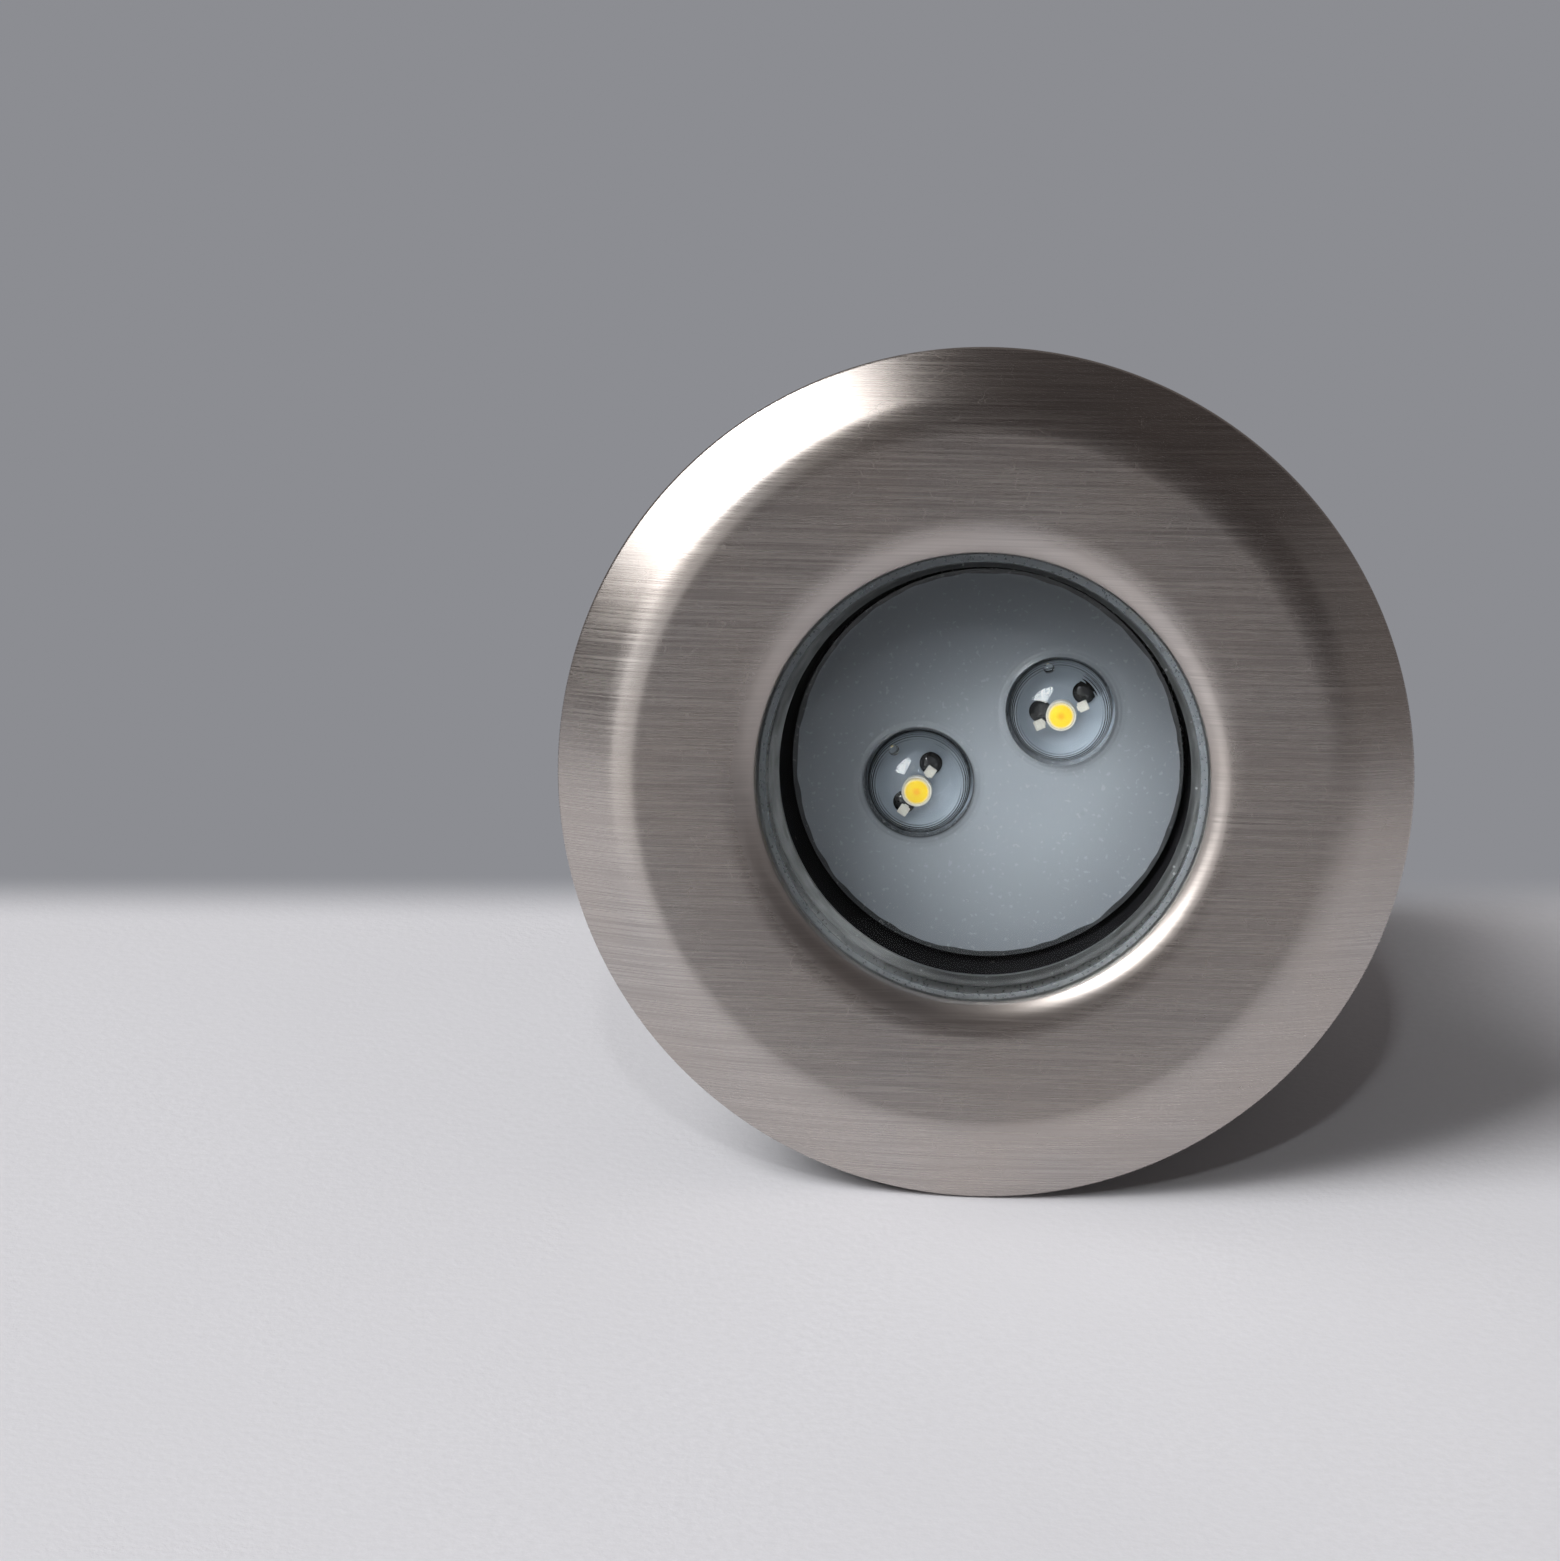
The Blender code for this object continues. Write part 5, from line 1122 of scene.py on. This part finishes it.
class SPOTLIGHT_OT_gland(bpy.types.Operator):
    """Make the cable gland: threaded body with its hexagon, washer, insert and domed nut"""

    bl_idname = "spotlight.gland"
    bl_label = "Cable Gland"

    def execute(self, context):
        radius, bore = 0.0080, 0.0052
        relief = radius - 0.0006
        collar_top, collar_end, inner_end, outer_end = -0.0734, -0.0779, -0.0603, -0.0849
        tube = np.concatenate((
            [(bore, inner_end), (relief, inner_end)],
            self.thread(radius, inner_end - 0.0006, collar_top + 0.0004),
            [(radius, collar_top + 0.0002), (radius, collar_end - 0.0002)],
            self.thread(radius, collar_end - 0.0005, outer_end + 0.0006),
            [(relief, outer_end), (bore, outer_end)],
        ))
        heights = (collar_top, collar_top - 0.0009, collar_end + 0.0009, collar_end)
        collar = self.hexagon(0.0066, 0.0127, heights)
        make_piece("gland_tube", [lathe(tube, ROUND_STEPS), collar], "grey_nylon", "gland_body")
        hole, out, top, base = 0.0083, 0.0112, -0.0716, -0.0731
        washer = rounded([(hole, top), (out, top, SMALL_ROUND), (out, base, SMALL_ROUND), (hole, base)])
        make_piece("gland_seal", [lathe(washer, ROUND_STEPS)], "black_rubber", "gland_washer")
        hole, neck, out, top, step, base = 0.0042, 0.0049, 0.0080, -0.0789, -0.0852, -0.0886
        sleeve = [(hole, top, FINE_ROUND), (neck, top, FINE_ROUND), (neck, step), (out, step, SMALL_ROUND)]
        sleeve = rounded(sleeve + [(out, base, SOFT_ROUND), (hole, base, SMALL_ROUND)], math.radians(15))
        make_piece("gland_sleeve", [lathe(sleeve, ROUND_STEPS)], "black_rubber", "gland_insert")
        self.make_nut()
        return {"FINISHED"}

    def thread(self, radius, start, end, pitch=0.0014):
        """A thread's side: the radius falls by a cosine of the height."""
        height = np.arange(start, end, -pitch / 4)
        cut = 0.00022 * (1 + np.cos((height - start) * 2 * math.pi / pitch))
        return np.stack((radius - cut, height), axis=-1)

    def hexagon(self, hole, corner, heights):
        """A hexagon with chamfered ends. Rows along each side keep its flats crisp."""
        flat = corner * math.cos(math.pi / 6)
        top, upper, lower, end = heights
        outline = [(hole, top), (flat - 0.0001, top), (corner, upper)]
        outline = np.array(outline + [(corner, lower), (flat - 0.0001, end), (hole, end)])
        share = np.linspace(0, 1, 7)[:-1][None, :, None]
        shelved = outline[:, None] * (1 - share) + np.roll(outline, -1, axis=0)[:, None] * share
        return lathe(shelved.reshape(-1, 2), HEXAGON_STEPS, apothem=flat)

    def make_nut(self):
        """The nut: a hexagon, then a dome whose grip flutes dent it by a cosine of the angle."""
        top, end, steps = -0.0782, -0.0904, 216
        bore, outside, mouth, seat, grip = 0.0083, 0.0100, 0.0045, end + 0.0016, top - 0.0058
        corners = [(bore, top), (outside, top), (outside, end, 0.0030), (mouth, end, SMALL_ROUND)]
        profile = rounded(corners + [(mouth, seat, SMALL_ROUND), (bore, seat, SOFT_ROUND)])
        profile = np.concatenate((profile[:2], np.linspace(profile[1], profile[2], 12)[1:-1], profile[2:]))
        points, faces = lathe(profile, steps)
        grid = points.reshape(len(profile), steps, 3)
        radius, height = profile.T
        flute_depth, flute_count, run_in, run_out = 0.00035, 24, 0.001, 0.0012
        dented = (radius > bore + SMALL_ROUND) & (height < grip)
        depth = np.where(dented, flute_depth * np.clip((grip - height) / run_in, 0, 1), 0)
        depth *= np.clip((height - end) / run_out, 0, 1)
        flutes = (0.5 - 0.5 * np.cos(flute_count * turns(steps)))[None] ** 2
        grid[..., :2] *= 1 - (depth[:, None] * flutes / outside)[..., None]
        hexagon = self.hexagon(0.0092, 0.01178, (top, top - 0.0008, top - 0.0047, top - 0.0055))
        make_piece("gland_cap", [(grid.reshape(-1, 3), faces), hexagon], "grey_nylon", "gland_nut")


KEPT_NODES = {
    "bezel_carrier": "black_nylon",
    "carrier_screw_": "plated_screw",
    "led_board": "board_lacquer",
    "led_board_screw_": "plated_screw",
    "heat_sink": "aluminium",
    "led_wire_positive": "red_wire",
    "led_wire_negative": "black_wire",
    "driver_board": "green_board",
    "driver_screw_": "plated_screw",
    "capacitor": "capacitor_sleeve",
    "choke": "ferrite",
    "rectifier": "chip_resin",
    "terminal_block": "white_nylon",
    "cover_o_ring": "black_rubber",
    "gland_locknut": "grey_nylon",
}


class SPOTLIGHT_OT_inner_pieces(bpy.types.Operator):
    """Give the pieces inside the lamp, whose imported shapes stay, their finishes"""

    bl_idname = "spotlight.inner_pieces"
    bl_label = "Inner Pieces"

    def execute(self, context):
        for name, node in frame["nodes"].items():
            finish = KEPT_NODES.get(name) or KEPT_NODES.get(name.rstrip("0123456789"))
            if not finish:
                continue
            if not node.material_slots:
                node.data.materials.append(material(finish))
            for slot in node.material_slots:
                slot.material = material(finish)
        return {"FINISHED"}


# Stage


def camera_stand():
    """Place, heading and pitch of a camera that sees the rim's centre on its pixel of the photograph.

    The sight line is turned sideways and up by the angles that the pixel's distance from the
    picture's middle makes at the focal length.
    """
    values = stage_values()
    side, rise = values.camera_side, values.camera_rise
    away = np.array((math.sin(side) * math.cos(rise), math.sin(rise), math.cos(side) * math.cos(rise)))
    centre = stand_up([(0.0, 0.0, 0.001)])[0]
    place = centre + (away @ AXES) * values.camera_distance
    sight = (centre - place) / values.camera_distance
    across = (values.face_across - IMAGE_SIZE[0] / 2) / values.focal_pixels
    above = (IMAGE_SIZE[1] / 2 - values.face_down) / values.focal_pixels
    long = math.sqrt(1 + across**2 + above**2)
    level = math.hypot(sight[0], sight[1])
    swing = math.asin(across / long / level)
    heading = math.atan2(sight[0], sight[1]) - swing
    pitch = math.atan2(sight[2], level * math.cos(swing))
    pitch -= math.asin(above / long / math.hypot(sight[2], level * math.cos(swing)))
    return place, heading, pitch


class SPOTLIGHT_OT_stage(bpy.types.Operator):
    """Set the table, the grey behind it, the soft lamps and the camera"""

    bl_idname = "spotlight.stage"
    bl_label = "Stage"

    def execute(self, context):
        self.make_floor()
        self.light_room()
        self.place_lamps()
        self.place_camera()
        context.scene.view_settings.view_transform = "Standard"
        return {"FINISHED"}

    def make_floor(self):
        """A wide flat disc."""
        rows = [(radius, 0.0) for radius in (0.0, 0.1, 0.3, 1.0, 4.0)]
        points, faces = lofted_pad(pointing(turns(64)), rows)
        mesh = make_mesh("table", points, faces[:, ::-1].tolist(), outwards=False)
        mesh.materials.append(self.table_paper())
        floor = placed("table", mesh)

    def table_paper(self):
        """Pale paper with fibres, up to the table's back edge. Beyond it comes the plain grey backdrop."""
        values = stage_values()
        finish = Finish("table_paper")
        where = finish.put("TexCoord")["Object"]
        fibres = finish.noise(where, 900.0, 4.0, 0.6)
        tone = finish.spread(values.floor, 0.96, 1.03, finish.contrast(fibres))
        cloud = finish.contrast(finish.noise(where, 14.0, 2.0))
        tone = finish.towards(tone, shade(values.floor, 0.97), cloud)
        finish.wire(base_color=tone, roughness=0.75, normal=finish.bump(fibres, 0.00006))
        place, heading, pitch = camera_stand()
        drop = math.atan2(values.table_row - IMAGE_SIZE[1] / 2, values.focal_pixels) - pitch
        reach = place[2] / math.tan(drop) + place[0] * math.sin(heading) + place[1] * math.cos(heading)
        straight = finish.put("Mapping", {"Vector": where, "Rotation": (0.0, 0.0, heading)})[0]
        back = finish.put("SeparateXYZ", {0: straight})[1]
        behind = finish.ranged(back, reach - 0.010, reach + 0.010, smooth=True)
        glow = finish.put("Emission", {"Color": values.backdrop, "Strength": 1.0})[0]
        mixed = finish.put("MixShader", {0: behind, 1: finish.shader.outputs[0], 2: glow})[0]
        finish.feed(finish.tree.nodes["Material Output"].inputs["Surface"], mixed)
        return finish.made

    def light_room(self):
        """A grey room that metal and glass mirror, with dark patches round two directions."""
        values = stage_values()
        world = bpy.data.worlds.new("grey_room")
        world.use_nodes = True
        bpy.context.scene.world = world
        world.node_tree.nodes.clear()
        nodes = Nodes(world.node_tree)
        way = nodes.put("TexCoord")["Generated"]
        tone, dark = (0.164, 0.152, 0.149), (0.064, 0.056, 0.055)
        patches = (((0.19, -0.657, 0.729), 0.72, 0.84), ((-0.84, -0.41, 0.36), 0.905, 0.965))
        for middle, outer_cosine, inner_cosine in patches:
            near = nodes.vectors("DOT_PRODUCT", way, middle)[1]
            tone = nodes.blended(nodes.ranged(near, outer_cosine, inner_cosine, smooth=True), tone, dark)
        rays = nodes.put("LightPath")
        straight = nodes.maths("ADD", rays["Is Camera Ray"], rays["Is Transmission Ray"], clamp=True)
        seen = nodes.blended(straight, tone, values.backdrop)
        light = nodes.put("Background", {"Color": seen, "Strength": values.world_level})[0]
        nodes.put("OutputWorld", {"Surface": light})

    def place_lamps(self):
        """Lamps by turn, tilt, distance, size and power, and what each one isn't seen by."""
        values = stage_values()
        lamps = (
            ("key_softbox", 135, 61, 1.92, (1.16, 1.18), values.key_power, "visible_diffuse"),
            ("far_softbox", 135, 58, 5.0, (3.1, 3.1), values.far_power, "visible_glossy"),
            ("side_softbox", 180, 32, 1.76, (0.99, 1.06), values.fill_power, "visible_diffuse"),
            ("strip", 134, 62, 1.76, (0.12, 0.32), values.strip_power, "visible_diffuse"),
            ("small_lamp", 90, 31, 1.92, (0.08, 0.08), values.small_power, "visible_glossy"),
        )
        for name, turn, tilt, distance, size, power, hidden in lamps:
            item = self.area(name, math.radians(turn), math.radians(tilt), distance, size, power)
            setattr(item, hidden, False)

    def area(self, name, turn, tilt, distance, size, power):
        """A soft lamp with level sides that looks at the face from tilt off its normal, turned round it."""
        lamp = bpy.data.lights.new(name, "AREA")
        lamp.shape = "RECTANGLE"
        lamp.size, lamp.size_y = size
        lamp.energy = power
        aim = np.array((math.sin(tilt) * math.cos(turn), math.sin(tilt) * math.sin(turn), math.cos(tilt)))
        across = np.array((aim[2], 0.0, -aim[0])) / math.hypot(aim[0], aim[2])
        item = placed(name, lamp)
        item.location = Vector(stand_up(aim * distance))
        spin = np.stack((across, np.cross(aim, across), aim)) @ AXES
        item.rotation_euler = Matrix(spin.T.tolist()).to_euler()
        return item

    def place_camera(self):
        """A plain camera at the photograph's angle, with its focal length."""
        place, heading, pitch = camera_stand()
        lens = bpy.data.cameras.new("camera")
        lens.sensor_fit = "HORIZONTAL"
        lens.sensor_width = SENSOR_WIDTH
        lens.lens = stage_values().focal_pixels / IMAGE_SIZE[0] * SENSOR_WIDTH
        lens.clip_start = 0.01
        camera = placed("camera", lens)
        camera.location = place
        camera.rotation_euler = (math.pi / 2 + pitch, 0.0, -heading)
        bpy.context.scene.camera = camera


OPERATORS = (
    SPOTLIGHT_OT_bezel,
    SPOTLIGHT_OT_glass,
    SPOTLIGHT_OT_well,
    SPOTLIGHT_OT_housing,
    SPOTLIGHT_OT_potting,
    SPOTLIGHT_OT_caps,
    SPOTLIGHT_OT_leds,
    SPOTLIGHT_OT_cover,
    SPOTLIGHT_OT_gland,
    SPOTLIGHT_OT_inner_pieces,
    SPOTLIGHT_OT_stage,
)


class SPOTLIGHT_PT_panel(bpy.types.Panel):
    """Lists the sizes, the colours and the steps that make the lamp"""

    bl_idname = "SPOTLIGHT_PT_panel"
    bl_label = "Ground Spotlight"
    bl_space_type = "VIEW_3D"
    bl_region_type = "UI"
    bl_category = "Spotlight"

    def draw(self, context):
        for owner in (sizes(), finishes(), stage_values()):
            box = self.layout.box()
            for name in owner.__annotations__:
                box.prop(owner, name)
        for step in OPERATORS:
            self.layout.operator(step.bl_idname)


GROUPS = {
    "spotlight_sizes": SpotlightSizes,
    "spotlight_finishes": SpotlightFinishes,
    "spotlight_stage": SpotlightStage,
}


def register():
    for made in (*GROUPS.values(), *OPERATORS, SPOTLIGHT_PT_panel):
        bpy.utils.register_class(made)
    for name, made in GROUPS.items():
        setattr(bpy.types.Scene, name, PointerProperty(type=made))


def unregister():
    for name in GROUPS:
        delattr(bpy.types.Scene, name)
    for made in reversed((*GROUPS.values(), *OPERATORS, SPOTLIGHT_PT_panel)):
        bpy.utils.unregister_class(made)


def main():
    register()
    for step in OPERATORS:
        family, name = step.bl_idname.split(".")
        getattr(getattr(bpy.ops, family), name)()


if __name__ == "__main__":
    main()
